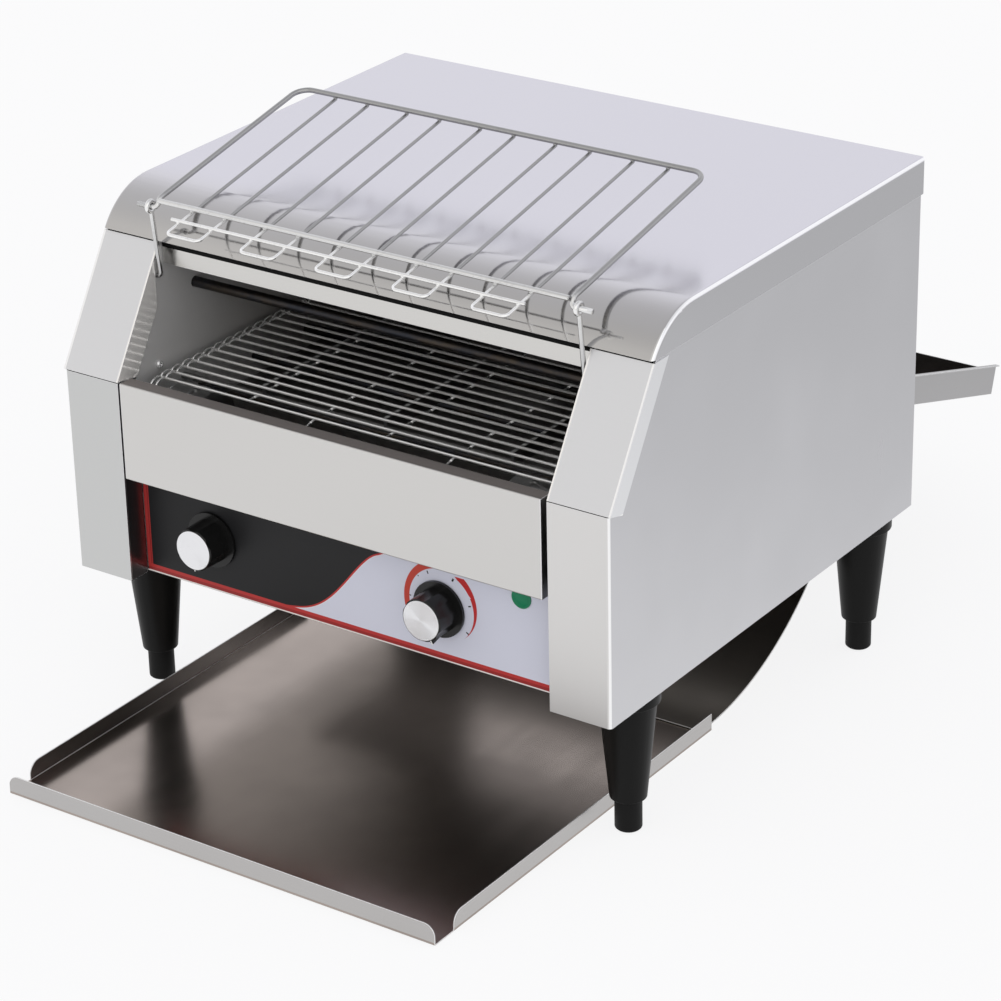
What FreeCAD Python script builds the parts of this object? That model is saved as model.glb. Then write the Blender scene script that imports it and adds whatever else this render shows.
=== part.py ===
# A countertop conveyor toaster. Bread is laid on a folding wire rack, rides through the oven on
# a wire belt and slides back to a tray at the front, or falls into a tray at the back.
import FreeCAD, Part
import math
import os
import Sketcher

Vector = FreeCAD.Vector

# Every driving size, in millimetres, degrees or counts. Widths run from the middle of the
# casing, depths run back from the front of its pillars and heights rise from its underside.
SIZES = (
    # Casing and sheet
    ("body_width", 475),
    ("body_depth", 423),
    ("body_height", 282),
    ("sheet", 1.2),
    ("skin", 0.9),
    ("seam", 0.3),
    ("touch_gap", 0.05),
    ("overrun", 5),
    # Side covers and the sloping pillar fronts
    ("pillar_width", 50.2),
    ("pillar_return", 19),
    ("side_height", 276),
    ("side_fold", 3),
    ("kink_height", 160.3),
    ("slant_angle", 58.7),
    ("slant_length", 106.4),
    ("shoulder_depth", 100),
    ("strip_width", 15),
    ("strip_drop", 4.1),
    ("facing_return", 20.5),
    ("facing_return_back", 49.5),
    ("return_drop", 3),
    # Top cover
    ("cover_bend", 60),
    ("cover_bend_back", 104.4),
    ("cover_skirt", 28),
    ("cover_overhang", 4.4),
    ("cover_fold", 3.4),
    # Inner walls
    ("wall_gap", 1.4),
    ("wall_front", 22),
    ("wall_back", 420),
    ("wall_setback", 3.5),
    ("wall_top", 270),
    ("wall_shoulder_depth", 92),
    ("wall_foot", 8),
    ("wall_foot_inset", 8),
    # Base plate
    ("base_inset", 1.5),
    ("base_step_depth", 21.5),
    ("base_back", 192),
    ("chute_slot_gap", 0.2),
    # Rear panel
    ("rear_inset", 0.6),
    ("rear_opening_gap", 0.7),
    ("rear_opening_low", 62),
    ("rear_opening_high", 130),
    ("louvre_width", 60),
    ("louvre_height", 4),
    ("louvre_pitch", 12),
    ("louvre_count", 5),
    ("louvre_low", 196),
    ("louvre_middle", 110),
    # Front panel over the controls
    ("front_left_gap", 1.5),
    ("front_right_gap", 4.9),
    ("front_low", 84),
    ("front_high", 160),
    ("front_sheet", 1),
    ("front_top_flange", 13),
    ("front_end_flange", 11),
    # Control panel and its printed sheet
    ("control_depth", 20),
    ("control_height", 88),
    ("control_low", 1.5),
    ("control_lip", 12),
    ("control_gap", 0.5),
    ("overlay_thickness", 0.4),
    # Knobs, seen from the front
    ("mode_knob_inset", 64.6),
    ("mode_knob_height", 43.4),
    ("speed_knob_inset", 105.5),
    ("speed_knob_height", 42.3),
    ("knob_lift", 0.4),
    ("knob_skirt_radius", 21.5),
    ("knob_skirt_thick", 2.2),
    ("knob_back_radius", 16.9),
    ("knob_front_radius", 16.3),
    ("knob_edge", 0.8),
    ("knob_front", -3.3),
    ("knob_cap_radius", 14.5),
    ("knob_cap_thick", 0.9),
    ("knob_stem_radius", 3),
    ("knob_stem_length", 16),
    ("knob_flutes", 6),
    ("flute_radius", 16),
    ("flute_reach", 15.5),
    ("knob_hole_radius", 5),
    ("stem_clearance", 0.1),
    # Switch, speed controller and lamp behind the control panel
    ("switch_half", 17),
    ("switch_length", 30),
    ("controller_half", 20),
    ("controller_length", 26),
    ("lamp_inset", 35.3),
    ("lamp_height", 69.6),
    ("lamp_radius", 8),
    ("lamp_rim", 1),
    ("lamp_dome", 1.4),
    ("lamp_body_radius", 5.6),
    ("lamp_body_length", 20),
    # Hood strip and reflectors
    ("hood_front", 60),
    ("hood_rise", 3.8),
    ("hood_high", 250),
    ("hood_lip", 12),
    ("upper_reflector_height", 229.5),
    ("upper_reflector_front", 72),
    ("upper_reflector_back", 402),
    ("reflector_lip", 14),
    ("lower_reflector_lip", 6),
    ("lower_reflector_height", 108),
    ("lower_reflector_front", 76),
    ("lower_reflector_back", 313),
    # Heating tubes
    ("heater_radius", 4),
    ("heater_first", 95),
    ("heater_pitch", 65),
    ("heater_count", 4),
    ("heater_poke", 7),
    ("upper_heater_height", 207),
    ("lower_heater_height", 124),
    # Wire belt
    ("belt_gap", 4.8),
    ("belt_pitch", 12.23),
    ("belt_wheel_teeth", 14),
    ("belt_run_rods", 25),
    ("belt_rod_radius", 1.2),
    ("belt_link_width", 1.6),
    ("belt_link_thick", 1),
    ("belt_edge_inset", 2),
    ("idler_depth", 41.5),
    ("pulley_height", 123.9),
    ("wheel_tip_gap", 0.4),
    ("wheel_half_thick", 4),
    ("wheel_inset", 37.3),
    ("wheel_notch_depth", 3),
    ("wheel_hub_radius", 9),
    ("wheel_hub_half", 8),
    ("roller_half", 16),
    # Rails under the belt
    ("rail_gap", 0.4),
    ("rail_height", 12),
    ("rail_half_thick", 1.5),
    ("rail_inset", 77.3),
    ("rail_front", 72),
    ("rail_back", 317),
    ("rail_bar", 4),
    # Shafts and bushings
    ("shaft_radius", 5),
    ("shaft_reach", 9.7),
    ("shaft_clearance", 0.05),
    ("bushing_radius", 9),
    ("bushing_flange", 12),
    ("bushing_flange_thick", 2),
    ("bushing_inner", 1.5),
    # Chain drive in the right side channel
    ("chain_pitch", 6.35),
    ("driven_teeth", 18),
    ("motor_teeth", 12),
    ("chain_wheel_reach", 15.7),
    ("chain_wheel_thick", 3),
    ("chain_half_height", 2.8),
    ("chain_wheel_gap", 0.4),
    ("chain_notch_depth", 2),
    ("chain_hub_radius", 8),
    ("chain_hub_length", 6),
    ("motor_depth", 130),
    ("motor_height", 45),
    ("motor_shaft_radius", 4),
    ("motor_shaft_inset", 22.3),
    ("motor_shaft_reach", 24.7),
    ("gearbox_half", 28),
    ("gearbox_length", 31),
    ("gearbox_foot", 40),
    ("gearbox_foot_thick", 6),
    ("motor_radius", 22),
    ("motor_hole_radius", 6),
    ("motor_length", 60),
    # Cover over the electric parts
    ("compartment_height", 86),
    ("compartment_back", 190),
    # Terminal block and cable gland
    ("terminal_inset", 24.5),
    ("terminal_half", 13),
    ("terminal_back", 380),
    ("terminal_depth", 24),
    ("terminal_height", 22),
    ("gland_height", 40),
    ("gland_radius", 8),
    ("gland_nut_radius", 12),
    ("gland_nut_thick", 5),
    ("gland_length", 18),
    ("gland_bore", 4),
    # Folding rack of wire, measured along its slope from the front cross wire
    ("rack_front", 46.5),
    ("rack_height", 288),
    ("rack_slope", 11.5),
    ("rack_gap", 8.8),
    ("rack_length", 175),
    ("rack_corner", 12),
    ("rack_wire", 4),
    ("hairpin_wire", 2.5),
    ("hairpin_share", 0.368),
    ("hairpin_half", 14.75),
    ("hairpin_count", 5),
    ("hairpin_tip", 31.5),
    ("hairpin_corner", 4.5),
    ("cross_wire_front", 16.5),
    ("cross_wire_inset", 26.5),
    ("stub_depth", 46),
    ("stub_height", 282.5),
    ("stub_reach", 11),
    ("stub_bend", 3.5),
    ("arm_gap", 2.8),
    ("arm_wire", 3.5),
    ("arm_ring_gap", 0.1),
    ("arm_bend", 4),
    ("pivot_depth", 52.7),
    ("pivot_height", 226),
    ("pivot_clearance", 0.1),
    ("pivot_poke", 1.6),
    # Legs and levelling feet
    ("leg_height", 112),
    ("leg_inset", 23.6),
    ("front_leg_depth", 57.6),
    ("rear_leg_depth", 387),
    ("leg_collar_radius", 23.5),
    ("leg_collar", 8),
    ("leg_top_radius", 21),
    ("leg_low_radius", 13.5),
    ("leg_length", 86),
    ("foot_radius", 10),
    ("foot_edge", 1.5),
    ("foot_stem_radius", 4),
    ("foot_stem_length", 20),
    ("foot_clearance", 0.05),
    # Front tray on the worktop
    ("tray_spread", 2.7),
    ("tray_front", 145),
    ("tray_back", 209),
    ("tray_lift", 0.4),
    ("tray_sheet", 0.8),
    ("tray_lip", 15.5),
    ("tray_lip_corner", 9),
    ("tray_side", 14),
    ("tray_side_front", 123),
    ("tray_side_corner", 10),
    # Return chute
    ("chute_gap", 1.3),
    ("chute_centre_depth", 208),
    ("chute_radius", 220),
    ("chute_turn", 64),
    ("chute_rise", 26),
    ("chute_front", 200),
    ("chute_lift", 0.4),
    ("chute_sheet", 1),
    # Rear tray, sloping down to the back
    ("rear_tray_slope", 16.8),
    ("rear_tray_gap", 3.8),
    ("rear_tray_lip", 3),
    ("rear_tray_wall", 25),
    ("rear_tray_end", 20),
    ("rear_tray_sheet", 1),
    ("rear_tray_inner", 410),
    ("rear_tray_level", 68.4),
    ("rear_tray_length", 260),
    ("runner_length", 42),
    ("runner_gap", 0.3),
)

SIGNS = {
    "+": lambda first, second: first + second,
    "-": lambda first, second: first - second,
    "*": lambda first, second: first * second,
    "/": lambda first, second: first / second,
}


class Size:
    """A length, angle or count, with the formula that ties it to the cells of the sheet."""

    def __init__(self, value, text):
        self.value = value
        self.text = text

    def __add__(self, other):
        return joined(self, "+", other)

    def __radd__(self, other):
        return joined(other, "+", self)

    def __sub__(self, other):
        return joined(self, "-", other)

    def __rsub__(self, other):
        return joined(other, "-", self)

    def __mul__(self, other):
        return joined(self, "*", other)

    def __rmul__(self, other):
        return joined(other, "*", self)

    def __truediv__(self, other):
        return joined(self, "/", other)

    def __rtruediv__(self, other):
        return joined(other, "/", self)

    def __neg__(self):
        return joined(-1, "*", self)


def as_size(thing):
    """Wraps a plain zero, count or share, so that it can stand among the sizes."""
    return thing if isinstance(thing, Size) else Size(thing, f"({thing})")


def joined(first, sign, second):
    """Works out one sum, both as a number and as a formula."""
    first = as_size(first)
    second = as_size(second)
    value = SIGNS[sign](first.value, second.value)
    return Size(value, f"({first.text} {sign} {second.text})")


def sine(angle):
    angle = as_size(angle)
    return Size(math.sin(math.radians(angle.value)), f"sin({angle.text})")


def cosine(angle):
    angle = as_size(angle)
    return Size(math.cos(math.radians(angle.value)), f"cos({angle.text})")


def tangent(angle):
    return sine(angle) / cosine(angle)


def root(square):
    return Size(math.sqrt(square.value), f"sqrt({square.text})")


doc = FreeCAD.newDocument("toaster")
sheet = doc.addObject("Spreadsheet::Sheet", "Sizes")
for row, (alias, number) in enumerate(SIZES, start=1):
    sheet.set(f"A{row}", str(number))
    sheet.setAlias(f"A{row}", alias)
doc.recompute()


# Shares of a tooth's step that its tip and half its gap take, and places of the belt's inner
# links as shares of its half width, in turn from rod to rod
TIP_SHARE = 0.15
ROOT_SHARE = 0.15
LINK_SHARES = ((-0.55, 0.12), (-0.22, 0.45))
ROD_SIDES = 6


class Cells:
    """Gives each cell of the sheet as a Size, by its alias."""

    def __getattr__(self, alias):
        return Size(sheet.get(alias), f"Sizes.{alias}")


s = Cells()
nodes = []
cuts = []

# Places that many pieces share
half = s.body_width / 2
pillar_inner = half - s.pillar_width
slant_top_depth = s.slant_length * cosine(s.slant_angle)
slant_top_height = s.kink_height + s.slant_length * sine(s.slant_angle)
wall_inner = pillar_inner + s.wall_gap
between_walls = wall_inner - s.seam
belt_wheel_pitch_radius = s.belt_pitch / (2 * sine(180 / s.belt_wheel_teeth))
drive_depth = s.idler_depth + s.belt_run_rods * s.belt_pitch
belt_top = s.pulley_height + belt_wheel_pitch_radius
belt_half = pillar_inner - s.belt_gap
wheel_place = pillar_inner - s.wheel_inset
rail_place = pillar_inner - s.rail_inset
shaft_half = pillar_inner + s.shaft_reach
link_inner = belt_wheel_pitch_radius * cosine(180 / s.belt_wheel_teeth) - s.belt_link_thick / 2
wheel_tip = link_inner - s.wheel_tip_gap
driven_radius = s.chain_pitch / (2 * sine(180 / s.driven_teeth))
motor_wheel_radius = s.chain_pitch / (2 * sine(180 / s.motor_teeth))
chain_wheel_place = pillar_inner + s.chain_wheel_reach
motor_shaft_in = pillar_inner - s.motor_shaft_inset
motor_shaft_out = pillar_inner + s.motor_shaft_reach
rear_opening_half = pillar_inner + s.rear_opening_gap
chute_slot_half = pillar_inner + s.chute_slot_gap
chute_half = pillar_inner - s.chute_gap
tray_half = pillar_inner + s.tray_spread
rear_tray_half = pillar_inner - s.rear_tray_gap
front_left = pillar_inner - s.front_left_gap
front_right = pillar_inner - s.front_right_gap
mode_knob_left = pillar_inner - s.mode_knob_inset
speed_knob_right = pillar_inner - s.speed_knob_inset
lamp_right = pillar_inner - s.lamp_inset
terminal_left = half - s.terminal_inset
leg_side = half - s.leg_inset
rack_half = pillar_inner - s.rack_gap
hairpin_pitch = rack_half * s.hairpin_share
cross_wire_half = rack_half - s.cross_wire_inset
arm_place = pillar_inner - s.arm_gap
stub_end = arm_place + s.stub_reach
hood_low = s.upper_reflector_height + s.hood_rise
rear_face = s.body_depth - s.rear_inset
overlay_front = s.control_depth - s.overlay_thickness
rear_end = (
    s.rear_tray_inner
    + s.rear_tray_length * cosine(s.rear_tray_slope)
    + s.rear_tray_wall * sine(s.rear_tray_slope)
)
middle_depth = (rear_end - s.tray_front) / 2


def slant_depth(height, shift=0):
    """Gives the depth of the sloping pillar front at a height, moved inward by a shift."""
    return (height - s.kink_height) / tangent(s.slant_angle) + shift / sine(s.slant_angle)


def slant_height(depth, shift=0):
    """Gives the height of the sloping pillar front at a depth, moved inward by a shift."""
    return s.kink_height + (depth - shift / sine(s.slant_angle)) * tangent(s.slant_angle)


def bind(thing, path, size):
    """Ties one property of an object to the sheet."""
    thing.setExpression(path, as_size(size).text)


def settle(thing, x=0, y=0, z=0, tilt=0):
    """Places a piece by its own origin, given in the casing's frame, and tilts it about X."""
    thing.Placement = FreeCAD.Placement(Vector(), FreeCAD.Rotation(Vector(1, 0, 0), as_size(tilt).value))
    bind(thing, "Placement.Base.x", x)
    bind(thing, "Placement.Base.y", y - middle_depth)
    bind(thing, "Placement.Base.z", z + s.leg_height)
    bind(thing, "Placement.Rotation.Angle", tilt)


def new_body(label, x=0, y=0, z=0, tilt=0):
    """Starts a piece that is made of sketches and features."""
    body = doc.addObject("PartDesign::Body", label)
    body.AllowCompound = True
    settle(body, x, y, z, tilt)
    nodes.append(body)
    return body


def origin_part(body, role):
    return next(part for part in body.Origin.OriginFeatures if part.Role == role)


def new_sketch(body, plane, offset):
    """Adds an empty sketch on one of the body's own planes, moved along the plane's axis."""
    sketch = body.newObject("Sketcher::SketchObject", "Outline")
    sketch.AttachmentSupport = [(origin_part(body, f"{plane}_Plane"), "")]
    sketch.MapMode = "FlatFace"
    bind(sketch, "AttachmentOffset.Base.z", -offset if plane == "XZ" else offset)
    return sketch


def pins(geometry, point, x, y):
    """Lists the rules that tie one point of a sketch to its distances from the origin."""
    rules = []
    for kind, axis, size in (("DistanceX", -2, as_size(x)), ("DistanceY", -1, as_size(y))):
        if size.text == "(0)":
            rules.append((Sketcher.Constraint("PointOnObject", geometry, point, axis), None))
        else:
            rules.append((Sketcher.Constraint(kind, -1, 1, geometry, point, size.value), size))
    return rules


def add_rules(sketch, rules):
    """Adds rules to a sketch and ties each one that has a size to the sheet."""
    numbers = sketch.addConstraint([rule for rule, _ in rules])
    for number, (_, size) in zip(numbers, rules):
        if size is not None:
            bind(sketch, f"Constraints[{number}]", size)


def draw_circle(sketch, x, y, radius):
    """Draws a circle whose centre and radius follow the sheet."""
    centre = Vector(as_size(x).value, as_size(y).value, 0)
    number = sketch.addGeometry(Part.Circle(centre, Vector(0, 0, 1), radius.value), False)
    rule = Sketcher.Constraint("Radius", number, radius.value)
    add_rules(sketch, [(rule, radius)] + pins(number, 3, x, y))


def arc_between(start, end, radius):
    """Makes the short arc from start to end that bends left where its radius is positive."""
    chord = end - start
    side = 1 if radius > 0 else -1
    across = Vector(-chord.y, chord.x, 0).normalize() * side
    reach = math.sqrt(max(radius * radius - chord.Length * chord.Length / 4, 0))
    centre = (start + end) / 2 + across * reach
    first, last = (start, end) if side > 0 else (end, start)
    first_angle = math.atan2(first.y - centre.y, first.x - centre.x)
    last_angle = math.atan2(last.y - centre.y, last.x - centre.x)
    return Part.ArcOfCircle(Part.Circle(centre, Vector(0, 0, 1), abs(radius)), first_angle, last_angle)


def draw_line(sketch, points, closed=True):
    """Draws an outline through points (x, y). A third value is the radius of the arc that
    leads to its point from the one before, negative where it bends to the right."""
    places = [Vector(as_size(point[0]).value, as_size(point[1]).value, 0) for point in points]
    numbers = range(len(points)) if closed else range(1, len(points))
    base = sketch.GeometryCount
    pieces = []
    ends = []
    rules = []
    for number in numbers:
        start, end = places[number - 1], places[number]
        radius = points[number][2] if len(points[number]) > 2 else None
        pieces.append(arc_between(start, end, radius.value) if radius else Part.LineSegment(start, end))
        ends.append((2, 1) if radius and radius.value < 0 else (1, 2))
        if radius:
            size = radius if radius.value > 0 else -radius
            rule = Sketcher.Constraint("Radius", base + len(pieces) - 1, size.value)
            rules.append((rule, size))
    sketch.addGeometry(pieces, False)
    count = len(pieces)
    for index in range(count if closed else count - 1):
        after = (index + 1) % count
        joint = ("Coincident", base + index, ends[index][1], base + after, ends[after][0])
        rules.append((Sketcher.Constraint(*joint), None))
    if not closed:
        rules += pins(base, ends[0][0], *points[0][:2])
    for index, number in enumerate(numbers):
        rules += pins(base + index, ends[index][1], *points[number][:2])
    add_rules(sketch, rules)


def box(x_low, x_high, y_low, y_high):
    """Lists the corners of a rectangle."""
    return [(x_low, y_low), (x_high, y_low), (x_high, y_high), (x_low, y_high)]


def disc(x, y, radius):
    """Marks a circle among the outlines of a sketch."""
    return {"x": x, "y": y, "radius": radius}


def outlined(body, plane, offset, outlines):
    """Adds a sketch with closed outlines."""
    sketch = new_sketch(body, plane, offset)
    for outline in outlines:
        if isinstance(outline, dict):
            draw_circle(sketch, **outline)
        else:
            draw_line(sketch, outline)
    return sketch


def add_pad(body, plane, low, high, *outlines):
    """Adds a straight solid between two places along the plane's axis."""
    sketch = outlined(body, plane, low, outlines)
    pad = body.newObject("PartDesign::Pad", "Pad")
    pad.Profile = sketch
    pad.Reversed = plane == "XZ"
    bind(pad, "Length", high - low)
    return pad


def add_cut(body, plane, low, high, *outlines):
    """Cuts straight through the body between two places along the plane's axis."""
    sketch = outlined(body, plane, low, outlines)
    cut = body.newObject("PartDesign::Pocket", "Cut")
    cut.Profile = sketch
    cut.Reversed = plane != "XZ"
    bind(cut, "Length", high - low)
    cuts.append(cut)
    return cut


def add_turn(body, plane, axis, outline):
    """Adds a solid turned once round an axis of its sketch."""
    sketch = outlined(body, plane, as_size(0), [outline])
    turn = body.newObject("PartDesign::Revolution", "Turn")
    turn.Profile = sketch
    turn.ReferenceAxis = (sketch, [axis])
    turn.Angle = 360
    return turn


def add_row(body, feature, role, length, count):
    """Repeats a feature in a row along one of the body's axes."""
    row = body.newObject("PartDesign::LinearPattern", "Row")
    row.Originals = [feature]
    row.Direction = (origin_part(body, role), [""])
    bind(row, "Length", length)
    bind(row, "Occurrences", count)
    body.Tip = row
    return row


def add_ring(body, feature, role, count):
    """Repeats a feature round one of the body's axes."""
    ring = body.newObject("PartDesign::PolarPattern", "Ring")
    ring.Originals = [feature]
    ring.Axis = (origin_part(body, role), [""])
    ring.Angle = 360
    bind(ring, "Occurrences", count)
    body.Tip = ring
    return ring


def add_mirror(body, feature, role):
    """Repeats a feature on the other side of one of the body's planes."""
    mirror = body.newObject("PartDesign::Mirrored", "Mirror")
    mirror.Originals = [feature]
    mirror.MirrorPlane = (origin_part(body, role), [""])
    body.Tip = mirror
    return mirror


def edge_names(feature, wanted):
    """Names the edges of a feature that a test picks."""
    doc.recompute()
    edges = enumerate(feature.Shape.Edges, start=1)
    return [f"Edge{number}" for number, edge in edges if wanted(edge.BoundBox)]


def add_fillet(body, feature, radius, wanted):
    """Rounds the edges that a test picks."""
    fillet = body.newObject("PartDesign::Fillet", "Fillet")
    fillet.Base = (feature, edge_names(feature, wanted))
    bind(fillet, "Radius", radius)
    return fillet


def add_shell(body, feature, thick, open_face):
    """Hollows a solid to a thin sheet, open where a test picks its faces."""
    doc.recompute()
    faces = enumerate(feature.Shape.Faces, start=1)
    shell = body.newObject("PartDesign::Thickness", "Shell")
    shell.Base = (feature, [f"Face{number}" for number, face in faces if open_face(face)])
    shell.Reversed = True
    bind(shell, "Value", thick)
    return shell


def near(first, second):
    """Tells whether two numbers are the same place, to a thousandth."""
    return abs(first - as_size(second).value) < 0.001


def mirror_piece(label, source):
    """Makes the left-hand twin of a right-hand piece."""
    twin = doc.addObject("Part::Mirroring", label)
    twin.Source = source
    twin.Normal = Vector(1, 0, 0)
    nodes.append(twin)
    return twin


def make_side_covers():
    """Side panel, lower pillar face and its return, bent from one sheet, on each side."""
    body = new_body("right_side_cover")
    shift = s.skin + s.seam
    face_top = s.kink_height - s.skin * cosine(s.slant_angle) - s.seam
    slant_start = slant_height(s.sheet, shift)
    wrap = [
        (pillar_inner, 0),
        (half, 0),
        (half, s.body_depth),
        (half - s.sheet, s.body_depth),
        (half - s.sheet, s.sheet),
        (pillar_inner, s.sheet),
    ]
    sides = add_pad(body, "XY", as_size(0), s.side_height, wrap)
    add_fillet(body, sides, s.side_fold,
               lambda b: near(b.XMin, half) and near(b.XMax, half) and near(b.YMax, 0))
    slope = [
        (-s.overrun, face_top),
        (s.sheet, face_top),
        (s.sheet, slant_start),
        (slant_depth(slant_top_height, shift), slant_top_height),
        (s.shoulder_depth, s.side_height),
        (s.shoulder_depth, s.side_height + s.overrun),
        (-s.overrun, s.side_height + s.overrun),
    ]
    add_cut(body, "YZ", pillar_inner - s.overrun, half + s.overrun, slope)
    inward = [
        (s.sheet, 0),
        (s.pillar_return, 0),
        (s.pillar_return, face_top - s.return_drop),
        (s.sheet, face_top),
    ]
    add_pad(body, "YZ", pillar_inner, pillar_inner + s.sheet, inward)
    mirror_piece("left_side_cover", body)


def make_pillar_facings():
    """Sloping upper front of each pillar, with a strip over the side and an inner return."""
    body = new_body("right_pillar_facing")
    in_depth = s.skin * sine(s.slant_angle)
    in_height = s.skin * cosine(s.slant_angle)
    plate = [
        (0, s.kink_height),
        (in_depth, s.kink_height - in_height),
        (slant_top_depth + in_depth, slant_top_height - in_height),
        (slant_top_depth, slant_top_height),
    ]
    add_pad(body, "YZ", pillar_inner, half + s.skin, plate)
    strip = [
        (0, s.kink_height),
        (slant_depth(s.kink_height - s.strip_drop, s.strip_width), s.kink_height - s.strip_drop),
        (slant_depth(slant_top_height, s.strip_width), slant_top_height),
        (slant_top_depth, slant_top_height),
    ]
    add_pad(body, "YZ", half, half + s.skin, strip)
    back = s.facing_return_back
    inward = [
        (0, s.kink_height),
        (slant_depth(s.kink_height - s.return_drop, s.facing_return), s.kink_height - s.return_drop),
        (back, slant_height(back, s.facing_return)),
        (back, slant_height(back)),
    ]
    add_pad(body, "YZ", pillar_inner, pillar_inner + s.skin, inward)
    mirror_piece("left_pillar_facing", body)


def make_top_cover():
    """Curved cover, folded from one thin sheet with a skirt on three sides."""
    body = new_body("top_cover")
    wide = half + s.touch_gap + s.skin
    bend_height = s.body_height - s.cover_bend
    back = s.body_depth + s.cover_overhang
    lip_depth = s.cover_bend_back - s.cover_bend * sine(s.slant_angle)
    profile = [
        (lip_depth, bend_height + s.cover_bend * cosine(s.slant_angle), s.cover_bend),
        (back, s.body_height - s.cover_skirt),
        (back, s.body_height),
        (s.cover_bend_back, s.body_height),
    ]
    block = add_pad(body, "YZ", -wide, wide, profile)

    def folded(edge):
        on_side = near(edge.XMin, edge.XMax)
        along_bottom = near(edge.YMin, lip_depth) and near(edge.YMax, back)
        return on_side and not along_bottom

    rounded = add_fillet(body, block, s.cover_fold, folded)
    add_shell(body, rounded, s.skin, lambda face: face.normalAt(0, 0).z < -0.9)


def make_rear_panel():
    """Flat back with the tray opening, two groups of louvres and the cable's hole."""
    body = new_body("rear_panel")
    front = rear_face - s.sheet
    wide = half - s.sheet - s.seam
    plate = box(-wide, wide, s.base_inset, s.side_height)
    opening = box(-rear_opening_half, rear_opening_half, s.rear_opening_low, s.rear_opening_high)
    gland = disc(-terminal_left, s.gland_height, s.gland_radius + s.touch_gap)
    add_pad(body, "XZ", front, rear_face, plate, opening, gland)
    low, high = s.louvre_low, s.louvre_low + s.louvre_height
    slots = [box(x - s.louvre_width / 2, x + s.louvre_width / 2, low, high)
             for x in (-s.louvre_middle, s.louvre_middle)]
    cut = add_cut(body, "XZ", front - s.overrun, rear_face + s.overrun, *slots)
    add_row(body, cut, "Z_Axis", (s.louvre_count - 1) * s.louvre_pitch, s.louvre_count)


def make_base_plate():
    """Bottom sheet, open behind the electric parts so that the toast can slide out."""
    body = new_body("base_plate")
    wide = half - s.sheet - s.seam
    step = wall_inner + s.seam
    back = rear_face - s.sheet - s.seam
    slot = chute_slot_half
    outline = [
        (-wide, s.base_inset),
        (-step, s.base_inset),
        (-step, s.base_step_depth),
        (step, s.base_step_depth),
        (step, s.base_inset),
        (wide, s.base_inset),
        (wide, back),
        (slot, back),
        (slot, s.base_back),
        (-slot, s.base_back),
        (-slot, back),
        (-wide, back),
    ]
    add_pad(body, "XY", as_size(0), s.sheet, outline)


def make_inner_walls():
    """Wall between the oven and the side channel, with a foot and its holes, on each side."""
    body = new_body("right_inner_wall")
    low = s.control_low
    outer = wall_inner + s.sheet
    outline = [
        (s.wall_front, low),
        (s.wall_back, low),
        (s.wall_back, s.wall_top),
        (s.wall_shoulder_depth, s.wall_top),
        (slant_depth(slant_top_height, s.wall_setback), slant_top_height),
        (s.wall_front, slant_height(s.wall_front, s.wall_setback)),
    ]
    bushing_hole = s.bushing_radius + s.touch_gap
    holes = [
        disc(s.idler_depth, s.pulley_height, bushing_hole),
        disc(drive_depth, s.pulley_height, bushing_hole),
        disc(s.pivot_depth, s.pivot_height, s.arm_wire / 2 + s.pivot_clearance),
        disc(s.motor_depth, s.motor_height, s.motor_hole_radius),
    ]
    add_pad(body, "YZ", wall_inner, outer, outline, *holes)
    inset = s.wall_foot_inset
    foot = box(outer, outer + s.wall_foot, s.wall_front + inset, s.wall_back - inset)
    add_pad(body, "XY", low, low + s.sheet, foot)
    heater_holes = [disc(s.heater_first, height, s.heater_radius + s.seam)
                    for height in (s.upper_heater_height, s.lower_heater_height)]
    cut = add_cut(body, "YZ", wall_inner - s.overrun, outer + s.overrun, *heater_holes)
    add_row(body, cut, "Y_Axis", (s.heater_count - 1) * s.heater_pitch, s.heater_count)
    mirror_piece("left_inner_wall", body)


def make_front_panel():
    """Box-folded panel over the controls, seated on the printed sheet by its lower flange."""
    body = new_body("front_panel")
    left, right = -front_left, front_right
    low, high, thick = s.front_low, s.front_high, s.front_sheet
    add_pad(body, "XZ", as_size(0), thick, box(left, right, low, high))
    add_pad(body, "XZ", thick, s.front_top_flange, box(left, right, high - thick, high))
    add_pad(body, "XZ", thick, overlay_front - s.seam, box(left, right, low, low + thick))
    ends = [box(left, left + thick, low + thick, high - thick),
            box(right - thick, right, low + thick, high - thick)]
    flanges = add_pad(body, "XZ", thick, s.front_end_flange, *ends)
    add_fillet(body, flanges, thick, lambda edge: near(edge.YMax, 0) and near(edge.ZMin, edge.ZMax))


def make_control_panel():
    """Plate that carries the switch, the speed controller and the lamp, and its printed sheet."""
    wide = pillar_inner - s.control_gap
    low = s.control_low
    plate = box(-wide, wide, low, s.control_height)
    stems = [disc(-mode_knob_left, s.mode_knob_height, s.knob_hole_radius),
             disc(speed_knob_right, s.speed_knob_height, s.knob_hole_radius)]
    lamp = disc(lamp_right, s.lamp_height, s.lamp_body_radius + s.touch_gap)
    back = s.control_depth + s.sheet
    body = new_body("control_panel")
    add_pad(body, "XZ", s.control_depth, back, plate, *stems, lamp)
    add_pad(body, "XZ", back, back + s.control_lip, box(-wide, wide, low, low + s.sheet))
    overlay = new_body("panel_overlay")
    add_pad(overlay, "XZ", overlay_front, s.control_depth, plate, *stems, lamp)


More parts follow.
